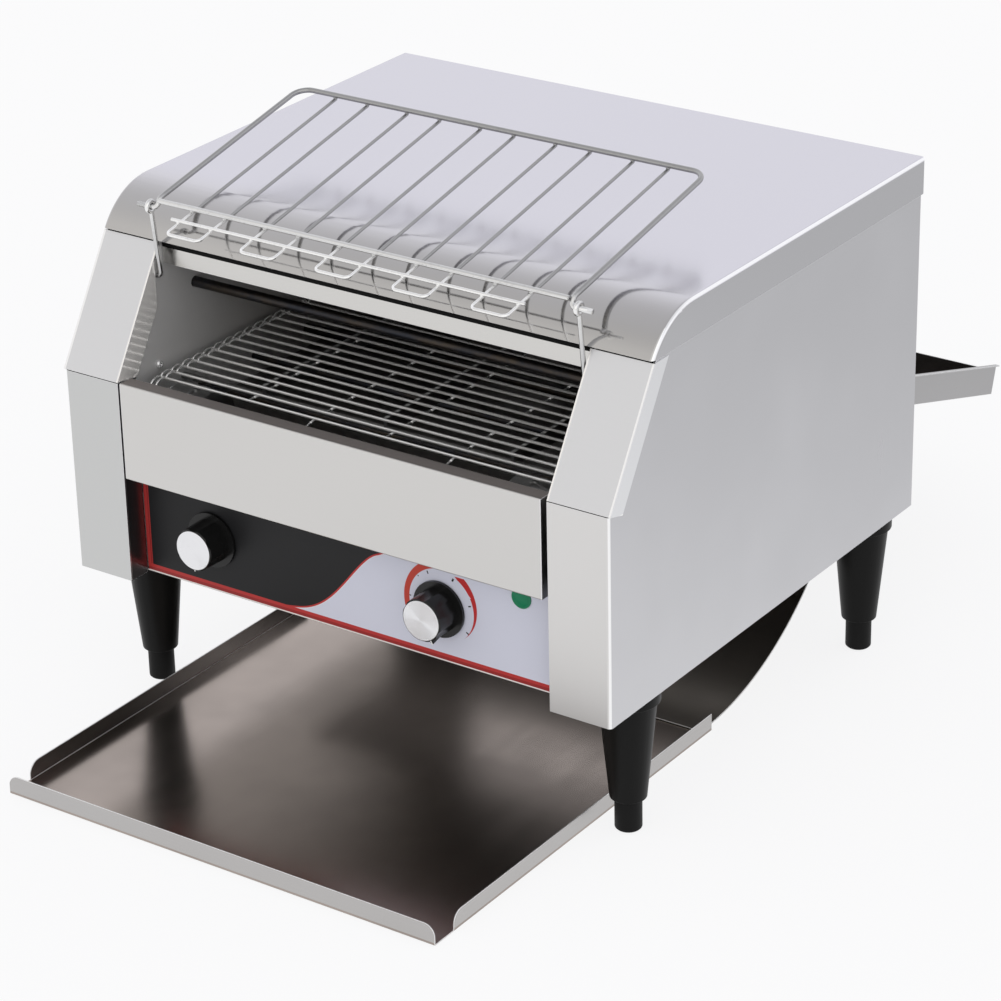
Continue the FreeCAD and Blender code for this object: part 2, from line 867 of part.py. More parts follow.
def make_knob(name, x, z):
    """Fluted knob with a skirt, a stem and a round metal cap, turning about its depth axis."""
    body = new_body(f"{name}_knob", x, 0, z)
    front = s.knob_front
    floor = front + s.knob_cap_thick
    back = overlay_front - s.knob_lift
    skirt = back - s.knob_skirt_thick
    rim = s.knob_cap_radius + s.touch_gap
    outline = [
        (floor, 0),
        (floor, rim),
        (front, rim),
        (front, s.knob_front_radius - s.knob_edge),
        (front + s.knob_edge, s.knob_front_radius),
        (skirt, s.knob_back_radius),
        (skirt, s.knob_skirt_radius),
        (back, s.knob_skirt_radius),
        (back, s.knob_stem_radius),
        (back + s.knob_stem_length, s.knob_stem_radius),
        (back + s.knob_stem_length, 0),
    ]
    add_turn(body, "YZ", "H_Axis", outline)
    flute = disc(0, s.flute_reach + s.flute_radius, s.flute_radius)
    cut = add_cut(body, "XZ", front - s.overrun, skirt, flute)
    add_ring(body, cut, "Y_Axis", s.knob_flutes)
    cap = new_body(f"{name}_knob_cap", x, 0, z)
    add_pad(cap, "XZ", front, floor, disc(0, 0, s.knob_cap_radius))


def make_switchgear(label, x, z, reach, length):
    """Switch or controller behind the control panel, with a bore for the knob's stem."""
    body = new_body(label, x, 0, z)
    front = s.control_depth + s.sheet
    add_pad(body, "XZ", front, front + length, box(-reach, reach, -reach, reach))
    bore = disc(0, 0, s.knob_stem_radius + s.stem_clearance)
    add_cut(body, "XZ", front - s.overrun, front + s.knob_stem_length, bore)


def make_lamp():
    """Round signal lamp with a domed lens, held in the control panel."""
    body = new_body("indicator_lamp", lamp_right, 0, s.lamp_height)
    seat = overlay_front - s.lamp_rim
    wide = s.lamp_radius - s.lamp_rim
    dome = (wide * wide + s.lamp_dome * s.lamp_dome) / (2 * s.lamp_dome)
    end = overlay_front + s.lamp_body_length
    outline = [
        (seat - s.lamp_dome, 0),
        (seat, wide, -dome),
        (seat, s.lamp_radius),
        (overlay_front, s.lamp_radius),
        (overlay_front, s.lamp_body_radius),
        (end, s.lamp_body_radius),
        (end, 0),
    ]
    add_turn(body, "YZ", "H_Axis", outline)


def make_hood_and_reflectors():
    """Strip over the mouth of the oven and the reflectors over and under the belt."""
    strip = new_body("hood_strip")
    front, low, high, thick = s.hood_front, hood_low, s.hood_high, s.sheet
    outline = [
        (front, low),
        (front + s.hood_lip, low),
        (front + s.hood_lip, low + thick),
        (front + thick, low + thick),
        (front + thick, high),
        (front, high),
    ]
    add_pad(strip, "YZ", -between_walls, between_walls, outline)
    upper = new_body("upper_reflector")
    front, back, low = s.upper_reflector_front, s.upper_reflector_back, s.upper_reflector_height
    outline = [
        (front, low),
        (back, low),
        (back, low + thick),
        (front + thick, low + thick),
        (front + thick, low + s.reflector_lip),
        (front, low + s.reflector_lip),
    ]
    add_pad(upper, "YZ", -between_walls, between_walls, outline)
    lower = new_body("lower_reflector")
    front, back, low = s.lower_reflector_front, s.lower_reflector_back, s.lower_reflector_height
    high = low + s.lower_reflector_lip
    outline = [
        (front, low),
        (back, low),
        (back, high),
        (back - thick, high),
        (back - thick, low + thick),
        (front + thick, low + thick),
        (front + thick, high),
        (front, high),
    ]
    add_pad(lower, "YZ", -between_walls, between_walls, outline)


def make_heaters(label, height):
    """Row of heating tubes that pass through both inner walls."""
    body = new_body(label)
    reach = wall_inner + s.sheet + s.heater_poke
    tube = add_pad(body, "YZ", -reach, reach, disc(s.heater_first, height, s.heater_radius))
    add_row(body, tube, "Y_Axis", (s.heater_count - 1) * s.heater_pitch, s.heater_count)


def make_belt_rails():
    """Three rails under the upper run of the belt, on two cross bars between the walls."""
    body = new_body("belt_rails")
    top = belt_top - s.belt_rod_radius - s.rail_gap
    low = top - s.rail_height
    rails = [box(x - s.rail_half_thick, x + s.rail_half_thick, low, top)
             for x in (-rail_place, as_size(0), rail_place)]
    add_pad(body, "XZ", s.rail_front, s.rail_back, *rails)
    bars = [box(s.rail_front, s.rail_front + s.rail_bar, low, low + s.rail_bar),
            box(s.rail_back - s.rail_bar, s.rail_back, low, low + s.rail_bar)]
    add_pad(body, "YZ", -between_walls, between_walls, *bars)


def belt_places():
    """Gives the depth and height of each rod's centre, once round the two wheels."""
    radius = belt_wheel_pitch_radius.value
    run = int(s.belt_run_rods.value)
    wrap = int(s.belt_wheel_teeth.value) // 2
    middle = s.pulley_height.value
    step = math.pi / wrap
    back, front = drive_depth.value, s.idler_depth.value
    upper = [(front + number * s.belt_pitch.value, middle + radius) for number in range(run)]
    rear = [(back + radius * math.sin(number * step), middle + radius * math.cos(number * step))
            for number in range(wrap)]
    lower = [(back + front - depth, middle - radius) for depth, _ in upper]
    nose = [(front + back - depth, 2 * middle - height) for depth, height in rear]
    return upper + rear + lower + nose


def make_wire_belt():
    """Belt of cross rods, each hooked to the next by flat links at both ends and between."""
    radius = s.belt_rod_radius.value
    reach = belt_half.value
    wide, thick = s.belt_link_width.value, s.belt_link_thick.value
    edge = reach - s.belt_edge_inset.value - wide
    centres = [Vector(0, depth, height) for depth, height in belt_places()]
    solids = []
    for number, centre in enumerate(centres):
        after = centres[(number + 1) % len(centres)]
        forward = (after - centre).normalize()
        upward = Vector(1, 0, 0).cross(forward)
        corners = [
            centre - Vector(reach, 0, 0)
            + (forward * math.cos(turn) + upward * math.sin(turn)) * radius
            for turn in (math.tau * (corner + 0.5) / ROD_SIDES for corner in range(ROD_SIDES + 1))
        ]
        solids.append(Part.Face(Part.makePolygon(corners)).extrude(Vector(2 * reach, 0, 0)))
        for place in [-edge - wide, edge] + [share * reach for share in LINK_SHARES[number % 2]]:
            low = upward * (-thick / 2) + Vector(place, 0, 0)
            high = low + upward * thick
            corners = [centre + low, after + low, after + high, centre + high, centre + low]
            solids.append(Part.Face(Part.makePolygon(corners)).extrude(Vector(wide, 0, 0)))
    belt = doc.addObject("Part::Feature", "wire_belt")
    belt.Shape = solids[0].multiFuse(solids[1:])
    settle(belt)
    nodes.append(belt)


def toothed(teeth, tip, depth):
    """Lists the outline of a wheel whose teeth have straight flanks."""
    points = []
    for tooth in range(int(teeth.value)):
        for share, radius in ((-TIP_SHARE, tip), (TIP_SHARE, tip),
                              (0.5 - ROOT_SHARE, tip - depth), (0.5 + ROOT_SHARE, tip - depth)):
            angle = (tooth + share) * 360 / teeth
            points.append((radius * cosine(angle), radius * sine(angle)))
    return points


def make_drive_roller():
    """Driven shaft at the back with two toothed wheels, and the chain wheel on its right end."""
    place = (0, drive_depth, s.pulley_height)
    shaft = new_body("drive_shaft", *place)
    end = chain_wheel_place + s.chain_wheel_thick + s.chain_hub_length
    add_pad(shaft, "YZ", -shaft_half, end, disc(0, 0, s.shaft_radius))
    bore = disc(0, 0, s.shaft_radius + s.touch_gap)
    wheels = new_body("drive_sprockets", *place)
    middle, thick, hub = wheel_place, s.wheel_half_thick, s.wheel_hub_half
    teeth = toothed(s.belt_wheel_teeth, wheel_tip, s.wheel_notch_depth)
    for side in (-1, 1):
        add_pad(wheels, "YZ", side * middle - thick, side * middle + thick, teeth, bore)
        add_pad(wheels, "YZ", side * middle - hub, side * middle + hub,
                disc(0, 0, s.wheel_hub_radius), bore)
    chain_wheel = new_body("driven_chain_wheel", *place)
    make_chain_wheel(chain_wheel, s.driven_teeth, driven_radius, bore)


def make_chain_wheel(body, teeth, radius, bore):
    """Toothed wheel with a hub that points to the outside of the casing."""
    low = chain_wheel_place
    high = low + s.chain_wheel_thick
    tip = radius - s.chain_half_height - s.chain_wheel_gap
    add_pad(body, "YZ", low, high, toothed(teeth, tip, s.chain_notch_depth), bore)
    add_pad(body, "YZ", high, high + s.chain_hub_length, disc(0, 0, s.chain_hub_radius), bore)


def make_idler_roller():
    """Free shaft at the front with two smooth rollers."""
    place = (0, s.idler_depth, s.pulley_height)
    shaft = new_body("idler_shaft", *place)
    add_pad(shaft, "YZ", -shaft_half, shaft_half, disc(0, 0, s.shaft_radius))
    rollers = new_body("idler_rollers", *place)
    bore = disc(0, 0, s.shaft_radius + s.touch_gap)
    for side in (-1, 1):
        middle = side * wheel_place
        add_pad(rollers, "YZ", middle - s.roller_half, middle + s.roller_half,
                disc(0, 0, wheel_tip), bore)


def make_bushings(label, depth):
    """Pair of flanged bushings that carry one shaft in the inner walls."""
    body = new_body(label, 0, depth, s.pulley_height)
    bore = s.shaft_radius + s.shaft_clearance
    outer = wall_inner + s.sheet
    flange_end = outer + s.bushing_flange_thick
    outline = [
        (wall_inner - s.bushing_inner, bore),
        (flange_end, bore),
        (flange_end, s.bushing_flange),
        (outer, s.bushing_flange),
        (outer, s.bushing_radius),
        (wall_inner - s.bushing_inner, s.bushing_radius),
    ]
    turn = add_turn(body, "XY", "H_Axis", outline)
    add_mirror(body, turn, "YZ_Plane")


def make_gear_motor():
    """Gear motor on a foot, whose output shaft carries the small chain wheel."""
    body = new_body("gear_motor", 0, s.motor_depth, s.motor_height)
    low = between_walls - s.gearbox_length
    reach, foot, floor = s.gearbox_half, s.gearbox_foot, s.sheet - s.motor_height
    outline = [
        (-foot, floor),
        (foot, floor),
        (foot, floor + s.gearbox_foot_thick),
        (reach, floor + s.gearbox_foot_thick),
        (reach, reach),
        (-reach, reach),
        (-reach, floor + s.gearbox_foot_thick),
        (-foot, floor + s.gearbox_foot_thick),
    ]
    add_pad(body, "YZ", low, between_walls, outline)
    add_pad(body, "YZ", low - s.motor_length, low, disc(0, 0, s.motor_radius))
    bore = disc(0, 0, s.motor_shaft_radius + s.touch_gap)
    add_cut(body, "YZ", motor_shaft_in - s.seam, between_walls + s.overrun, bore)
    shaft = new_body("motor_shaft", 0, s.motor_depth, s.motor_height)
    add_pad(shaft, "YZ", motor_shaft_in, motor_shaft_out, disc(0, 0, s.motor_shaft_radius))
    wheel = new_body("motor_chain_wheel", 0, s.motor_depth, s.motor_height)
    make_chain_wheel(wheel, s.motor_teeth, motor_wheel_radius, bore)


def make_drive_chain():
    """Chain loop round the two chain wheels, drawn as one closed band."""
    body = new_body("drive_chain", 0, s.motor_depth, s.motor_height)
    back, rise = drive_depth - s.motor_depth, s.pulley_height - s.motor_height
    length = root(back * back + rise * rise)
    lean = (driven_radius - motor_wheel_radius) / length
    spread = root(1 - lean * lean)
    along = (back / length, rise / length)
    across = (-along[1], along[0])

    def loop(shift):
        big, small = driven_radius + shift, motor_wheel_radius + shift
        upper = [spread * across[axis] - lean * along[axis] for axis in (0, 1)]
        lower = [-spread * across[axis] - lean * along[axis] for axis in (0, 1)]
        points = []
        for radius, middle, path in ((small, (0, 0), (upper, [-share for share in along], lower)),
                                     (big, (back, rise), (lower, along, upper))):
            for index, way in enumerate(path):
                place = (middle[0] + radius * way[0], middle[1] + radius * way[1])
                points.append(place if index == 0 else place + (radius,))
        return points

    low = chain_wheel_place
    add_pad(body, "YZ", low, low + s.chain_wheel_thick, loop(s.chain_half_height),
            loop(-s.chain_half_height))


def make_compartment_cover():
    """Folded sheet over the electric parts, between them and the sliding toast."""
    body = new_body("compartment_cover")
    front, back, high, thick = s.wall_front, s.compartment_back, s.compartment_height, s.sheet
    outline = [
        (front, high),
        (back, high),
        (back, thick),
        (back + thick, thick),
        (back + thick, high + thick),
        (front, high + thick),
    ]
    add_pad(body, "YZ", -between_walls, between_walls, outline)


def make_mains_entry():
    """Terminal block on the base and cable gland in the rear panel, in the left channel."""
    block = new_body("terminal_block", -terminal_left)
    reach = s.terminal_half
    add_pad(block, "XY", s.sheet, s.sheet + s.terminal_height,
            box(-reach, reach, s.terminal_back - s.terminal_depth, s.terminal_back))
    gland = new_body("cable_gland", -terminal_left, 0, s.gland_height)
    inside = rear_face - s.sheet
    nut = s.gland_nut_thick
    outline = [
        (inside - nut - s.overrun, s.gland_bore),
        (rear_face + s.gland_length, s.gland_bore),
        (rear_face + s.gland_length, s.gland_radius),
        (rear_face + nut, s.gland_radius),
        (rear_face + nut, s.gland_nut_radius),
        (rear_face, s.gland_nut_radius),
        (rear_face, s.gland_radius),
        (inside, s.gland_radius),
        (inside, s.gland_nut_radius),
        (inside - nut, s.gland_nut_radius),
        (inside - nut, s.gland_radius),
        (inside - nut - s.overrun, s.gland_radius),
    ]
    add_turn(gland, "YZ", "H_Axis", outline)


def bent_wire(points, bends, radius):
    """Sweeps a round wire along straight runs that are joined by arcs of the given radii."""
    edges = []
    start = points[0]
    for number in range(1, len(points) - 1):
        before = (points[number] - points[number - 1]).normalize()
        after = (points[number + 1] - points[number]).normalize()
        turn = before.getAngle(after)
        bend = bends[number - 1]
        reach = bend * math.tan(turn / 2)
        first = points[number] - before * reach
        last = points[number] + after * reach
        inward = (after - before).normalize()
        middle = points[number] + inward * (bend / math.cos(turn / 2) - bend)
        edges.append(Part.LineSegment(start, first).toShape())
        edges.append(Part.Arc(first, middle, last).toShape())
        start = last
    edges.append(Part.LineSegment(start, points[-1]).toShape())
    circle = Part.Circle(points[0], (points[1] - points[0]).normalize(), radius).toShape()
    return Part.Wire(edges).makePipeShell([Part.Wire([circle])], True, False)


def make_rack():
    """Wire rack: a bent frame, five hairpins and two cross wires, all on its own slope."""
    place = (0, s.rack_front, s.rack_height, s.rack_slope)
    slope = s.rack_slope
    down = s.stub_depth - s.rack_front
    rise = s.stub_height - s.rack_height
    stub = (down * cosine(slope) + rise * sine(slope), rise * cosine(slope) - down * sine(slope))
    half_route = [
        Vector(stub_end.value, stub[0].value, stub[1].value),
        Vector(rack_half.value, stub[0].value, stub[1].value),
        Vector(rack_half.value, s.stub_bend.value, 0),
        Vector(rack_half.value, s.rack_length.value, 0),
    ]
    route = half_route + [Vector(-point.x, point.y, point.z) for point in reversed(half_route)]
    bends = [s.stub_bend.value, s.stub_bend.value, s.rack_corner.value]
    frame = doc.addObject("Part::Feature", "rack_frame")
    frame.Shape = bent_wire(route, bends + bends[::-1], s.rack_wire.value / 2)
    settle(frame, *place)
    nodes.append(frame)

    hairpins = new_body("rack_hairpins", *place)
    level = -(s.rack_wire + s.hairpin_wire) / 2 - s.touch_gap
    first = -(s.hairpin_count - 1) * hairpin_pitch / 2
    left, right = first - s.hairpin_half, first + s.hairpin_half
    corner, tip, back = s.hairpin_corner, -s.hairpin_tip, s.rack_length
    spine = new_sketch(hairpins, "XY", level)
    route = [
        (left, back),
        (left, tip + corner),
        (left + corner, tip, corner),
        (right - corner, tip),
        (right, tip + corner, corner),
        (right, back),
    ]
    draw_line(spine, route, closed=False)
    section = outlined(hairpins, "XZ", back, [disc(left, level, s.hairpin_wire / 2)])
    pipe = hairpins.newObject("PartDesign::AdditivePipe", "Hairpin")
    pipe.Profile = section
    pipe.Spine = (spine, [])
    span = (s.hairpin_count - 1) * hairpin_pitch
    add_row(hairpins, pipe, "X_Axis", span, s.hairpin_count)

    cross = new_body("rack_cross_wires", *place)
    reach = rack_half - s.rack_wire / 2 - s.touch_gap
    add_pad(cross, "YZ", -reach, reach, disc(0, 0, s.rack_wire / 2))
    upper = level + s.hairpin_wire + s.touch_gap
    add_pad(cross, "YZ", -cross_wire_half, cross_wire_half,
            disc(-s.cross_wire_front, upper, s.hairpin_wire / 2))


def make_rack_arms():
    """Bent wire arm with a ring round the rack's stub and a pin in the inner wall, each side."""
    wire = s.arm_wire.value / 2
    ring = s.rack_wire.value / 2 + s.arm_ring_gap.value + wire
    top = Vector(arm_place.value, s.stub_depth.value, s.stub_height.value)
    low = Vector(arm_place.value, s.pivot_depth.value, s.pivot_height.value)
    end = Vector((wall_inner + s.sheet + s.pivot_poke).value, low.y, low.z)
    start = top + (low - top).normalize() * ring
    arm = bent_wire([start, low, end], [s.arm_bend.value], wire)
    arm = arm.fuse(Part.makeTorus(ring, wire, top, Vector(1, 0, 0)))
    right = doc.addObject("Part::Feature", "right_rack_arm")
    right.Shape = arm
    settle(right)
    nodes.append(right)
    mirror_piece("left_rack_arm", right)


def make_leg(name, x, y):
    """Tapered leg with a collar, and the levelling foot whose stem turns in its bore."""
    leg = new_body(f"{name}_leg", x, y)
    low = -s.leg_length
    bore = s.foot_stem_radius + s.foot_clearance
    bore_end = low + s.foot_stem_length + s.seam
    outline = [
        (0, 0),
        (0, bore_end),
        (bore, bore_end),
        (bore, low),
        (s.leg_low_radius, low),
        (s.leg_top_radius, -s.leg_collar),
        (s.leg_collar_radius, -s.leg_collar),
        (s.leg_collar_radius, 0),
    ]
    add_turn(leg, "XZ", "V_Axis", outline)
    foot = new_body(f"{name}_foot", x, y)
    floor, shoulder = -s.leg_height, low - s.seam
    outline = [
        (0, floor),
        (s.foot_radius - s.foot_edge, floor),
        (s.foot_radius, floor + s.foot_edge),
        (s.foot_radius, shoulder),
        (s.foot_stem_radius, shoulder),
        (s.foot_stem_radius, low + s.foot_stem_length),
        (0, low + s.foot_stem_length),
    ]
    add_turn(foot, "XZ", "V_Axis", outline)


def make_front_tray():
    """Flat tray on the worktop that the toast slides onto, with a lip and two side walls."""
    body = new_body("front_tray", 0, 0, s.tray_lift - s.leg_height)
    wide, thick, front, back = tray_half, s.tray_sheet, -s.tray_front, s.tray_back
    add_pad(body, "XY", as_size(0), thick, box(-wide, wide, front, back))
    lip, corner = s.tray_lip, s.tray_lip_corner
    outline = [
        (-wide, thick),
        (wide, thick),
        (wide, lip - corner),
        (wide - corner, lip, corner),
        (corner - wide, lip),
        (-wide, lip - corner, corner),
    ]
    add_pad(body, "XZ", front, front + thick, outline)
    start, corner = -s.tray_side_front, s.tray_side_corner
    outline = [
        (start, thick),
        (back, thick),
        (back, s.tray_side),
        (start + corner, s.tray_side),
        (start, s.tray_side - corner, corner),
    ]
    side = add_pad(body, "YZ", wide - thick, wide, outline)
    add_mirror(body, side, "YZ_Plane")


def make_return_chute():
    """Curved sheet that turns the falling toast round to the front tray."""
    body = new_body("return_chute")
    middle, radius, turn, thick = s.chute_centre_depth, s.chute_radius, s.chute_turn, s.chute_sheet
    low = s.tray_lift + s.tray_sheet + s.chute_lift - s.leg_height
    centre = low + radius
    lower = (middle + radius * sine(turn), centre - radius * cosine(turn))
    inner = radius - thick
    upper = (middle + inner * sine(turn), centre - inner * cosine(turn))
    ahead = (s.chute_rise * cosine(turn), s.chute_rise * sine(turn))
    tail = [
        (lower[0], lower[1]),
        (lower[0] + ahead[0], lower[1] + ahead[1]),
        (upper[0] + ahead[0], upper[1] + ahead[1]),
        (upper[0], upper[1]),
    ]
    outline = [
        (s.chute_front, low),
        (middle, low),
        (lower[0], lower[1], radius),
        *tail[1:],
        (middle, low + thick, -inner),
        (s.chute_front, low + thick),
    ]
    add_pad(body, "YZ", -chute_half, chute_half, outline)
    ear = add_pad(body, "YZ", chute_half, between_walls, tail)
    add_mirror(body, ear, "YZ_Plane")


def make_rear_tray():
    """Sloping tray that hangs by its lips in two runners on the inner walls."""
    place = (0, s.rear_tray_inner, s.rear_tray_level, -s.rear_tray_slope)
    body = new_body("rear_tray", *place)
    wide, thick, high = rear_tray_half, s.rear_tray_sheet, s.rear_tray_wall
    out = wide + s.rear_tray_lip
    outline = [
        (-wide, 0),
        (wide, 0),
        (wide, high - thick),
        (out, high - thick),
        (out, high),
        (wide - thick, high),
        (wide - thick, thick),
        (thick - wide, thick),
        (thick - wide, high),
        (-out, high),
        (-out, high - thick),
        (-wide, high - thick),
    ]
    length = s.rear_tray_length
    add_pad(body, "XZ", as_size(0), length, outline)
    add_pad(body, "XZ", length - thick, length, box(thick - wide, wide - thick, thick, s.rear_tray_end))
    runners = new_body("rear_tray_runners", *place)
    near_side, far_side, sheet_thick = wide + s.runner_gap, between_walls, s.sheet
    below = high - thick - s.runner_gap
    above = high + s.runner_gap
    outline = [
        (near_side, below - sheet_thick),
        (far_side, below - sheet_thick),
        (far_side, above + sheet_thick),
        (near_side, above + sheet_thick),
        (near_side, above),
        (far_side - sheet_thick, above),
        (far_side - sheet_thick, below),
        (near_side, below),
    ]
    room = rear_face - s.sheet - s.seam - s.rear_tray_inner
    top = (above + sheet_thick) * sine(s.rear_tray_slope)
    end = (room - top) / cosine(s.rear_tray_slope)
    runner = add_pad(runners, "XZ", end - s.runner_length, end, outline)
    add_mirror(runners, runner, "YZ_Plane")


def write_parts():
    """Checks every object and writes each piece to its own file."""
    doc.recompute()
    for thing in doc.Objects:
        if "Invalid" in thing.State or "Error" in thing.State:
            raise RuntimeError(f"{thing.Name} failed: {thing.State}")
    for cut in cuts:
        if cut.Shape.Volume >= cut.BaseFeature.Shape.Volume:
            raise RuntimeError(f"{cut.Name} cuts nothing")
    os.makedirs("parts", exist_ok=True)
    for node in nodes:
        if node.Shape.isNull() or not node.Shape.isValid():
            raise RuntimeError(f"{node.Label} has no valid shape")
        node.Shape.exportStep(f"parts/{node.Label}.step")


make_side_covers()
make_pillar_facings()
make_top_cover()
make_rear_panel()
make_base_plate()
make_inner_walls()
make_front_panel()
make_control_panel()
make_knob("mode", -mode_knob_left, s.mode_knob_height)
make_knob("speed", speed_knob_right, s.speed_knob_height)
make_switchgear("mode_switch", -mode_knob_left, s.mode_knob_height, s.switch_half, s.switch_length)
make_switchgear("speed_controller", speed_knob_right, s.speed_knob_height,
                s.controller_half, s.controller_length)
make_lamp()
make_hood_and_reflectors()
make_heaters("upper_heaters", s.upper_heater_height)
make_heaters("lower_heaters", s.lower_heater_height)
make_belt_rails()
make_wire_belt()
make_drive_roller()
make_idler_roller()
make_bushings("drive_bushings", drive_depth)
make_bushings("idler_bushings", s.idler_depth)
make_gear_motor()
make_drive_chain()
make_compartment_cover()
make_mains_entry()
make_rack()
make_rack_arms()
for end, depth in (("front", s.front_leg_depth), ("rear", s.rear_leg_depth)):
    make_leg(f"{end}_left", -leg_side, depth)
    make_leg(f"{end}_right", leg_side, depth)
make_front_tray()
make_return_chute()
make_rear_tray()
write_parts()
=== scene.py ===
import math

import bmesh
import bpy
from mathutils import Matrix, Vector


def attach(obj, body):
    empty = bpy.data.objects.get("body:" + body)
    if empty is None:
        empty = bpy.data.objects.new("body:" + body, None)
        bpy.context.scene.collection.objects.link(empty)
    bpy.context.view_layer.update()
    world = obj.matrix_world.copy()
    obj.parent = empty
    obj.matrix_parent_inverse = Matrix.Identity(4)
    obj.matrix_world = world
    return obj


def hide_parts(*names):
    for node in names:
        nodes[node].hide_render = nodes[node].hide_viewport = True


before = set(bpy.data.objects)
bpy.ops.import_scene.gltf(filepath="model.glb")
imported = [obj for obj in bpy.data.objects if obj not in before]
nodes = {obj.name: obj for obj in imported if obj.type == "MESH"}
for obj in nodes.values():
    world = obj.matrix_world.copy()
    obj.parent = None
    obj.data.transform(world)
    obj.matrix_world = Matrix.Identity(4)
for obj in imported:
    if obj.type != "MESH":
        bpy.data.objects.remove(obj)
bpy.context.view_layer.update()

bl_info = {
    "name": "Conveyor toaster",
    "version": (1, 0, 0),
    "blender": (4, 5, 0),
    "location": "3D Viewport > Sidebar > Toaster",
    "description": "Gives the packed conveyor toaster its finishes and its small pieces",
    "category": "Add Mesh",
}

MM = 0.001

# The casing's own millimetres, as part.py has them: across, back from the pillars' fronts and
# up from the casing's lower edge. The frame's origin is under the middle, on the worktop.
LEG = 112.0
MIDDLE = 260.564
CASING_HALF = 237.5

# Where the finishes change: on the returns inside the mouth, on the pillars' upright fronts, at
# the foot of the strips beside the facings, along the cover's bend, along the depth of the oven,
# behind and above the front panel's edge, on the front tray's floor and in the rear tray.
WALL_INNER = 188.7
PILLAR_FACE = 1.7
STRIP_FOOT = 157.5
COVER_BEND = (62, 128)
OVEN_DEPTH = (60, 240)
FLANGE = (1.4, 159.2)
TRAY_FLOOR = -109.6
REAR_TRAY_HALF = 183.1

# The knobs: their middles, how far each is turned, their metal caps and their marks.
SPEED_KNOB = (81.8, 42.3)
MODE_KNOB = (-122.7, 43.4)
SPEED_TURN = -60
MODE_TURN = -88
CAP_FACE = -3.0
CAP_RADIUS = 15.2
CAP_THICK = 1.2
NOSE_SIZE = (4.6, 13.0, 5.4)
NOSE_SPOT = (16.4, 3.6, 0)
MARK_FACE = -3.28
MARK_SECTION = (0.3, 0.9)

# The control panel's film: the black field's edge is a curve of the fourth power up to a knee
# and a straight line beyond it. Each tick mark has its angle round the speed knob, its two ends
# and half its width.
EDGE_CURVE = (-19.472, -7.476, 34.681, 41.668, 21.552)
EDGE_START = -20
EDGE_SPAN = 50
EDGE_KNEE = (28.5, 70.5)
EDGE_SLOPE = 0.5
TICKS = ((172, 25.2, 26.6, 0.45), (131, 27.2, 28.2, 0.45), (111, 26.4, 28.8, 0.5),
         (65, 26.6, 29.2, 0.75), (18, 25.8, 28.2, 0.5), (-30, 25.6, 28, 0.6))

# The rack folded over the top: its slope, its first wire, its hairpins, and where the painted
# highlight along its front gives way to dull wire.
RACK_SLOPE = math.radians(11.5)
RACK_FRONT = 46.5
RACK_HEIGHT = 288
HAIRPINS = 5
HAIRPIN_PITCH = 65.69
HAIRPIN_HALF = 14.75
RACK_PAINTED_HIGHLIGHT = (38, 56)

# The belt: the pitch of its rods, the wheels' radius and middle, and the rods of its runs.
BELT_PITCH = 12.23
BELT_RADIUS = 27.48
BELT_MIDDLE = 123.9
BELT_FRONT = 41.5
BELT_RUN = 25
BELT_WRAP = 7
LOOP_PLACES = (-181.4, -176.6, 176.6, 181.4)

# The screws on the rear panel and inside the mouth, and the black strip under the cover's lip,
# which stands for the shadow in the gap there.
REAR_SEAT = 422.3
REAR_SCREWS = [(x, z) for x in (-229, 229) for z in (14, 96, 178, 252)]
REAR_SCREWS += [(x, 12) for x in (-150, -50, 50, 150)]
WALL_SEAT = 188.6
WALL_SCREWS = ((48, 157.7), (60.5, 132.5))
SHADOW_STRIP_SIZE = (374, 1.6, 3.4)
SHADOW_STRIP_SPOT = (0, 59.3, 248.6)

# The large soft lamp, in metres and watts.
KEY_SPOT = (1.3, -2.4, 2.6)
KEY_SIZE = 5.0
KEY_POWER = 15

# The camera, fitted to the photograph's edges: where it stands and which ways it faces.
CAMERA_SPOT = (1404.77, -1777.61, 1177.65)
CAMERA_RIGHT = (0.82232, 0.56865, -0.02060)
CAMERA_UP = (-0.22742, 0.36161, 0.90417)
CAMERA_BACK = (0.52160, -0.73883, 0.42668)
CAMERA_LENS = 128.05


def place(x, y, z):
    """A spot given in the casing's own millimetres, as metres in the frame."""
    return Vector((x * MM, (y - MIDDLE) * MM, (z + LEG) * MM))


def on_rack(x, along, over):
    """A spot on the folded rack: along its slope from the front cross wire, and over it."""
    lean, rise = math.cos(RACK_SLOPE), math.sin(RACK_SLOPE)
    return place(x, RACK_FRONT + along * lean - over * rise,
                 RACK_HEIGHT + along * rise + over * lean)


def rgba(colour):
    """A colour with full cover."""
    return (*colour[:3], 1.0)


def shaded(colour, share):
    """A colour made darker, or lighter up to white."""
    return rgba([min(1.0, part * share) for part in colour[:3]])


def powers(value, parts):
    """A sum of powers of a value, with the highest power's part first."""
    total = parts[0]
    for part in parts[1:]:
        total = value * total + part
    return total


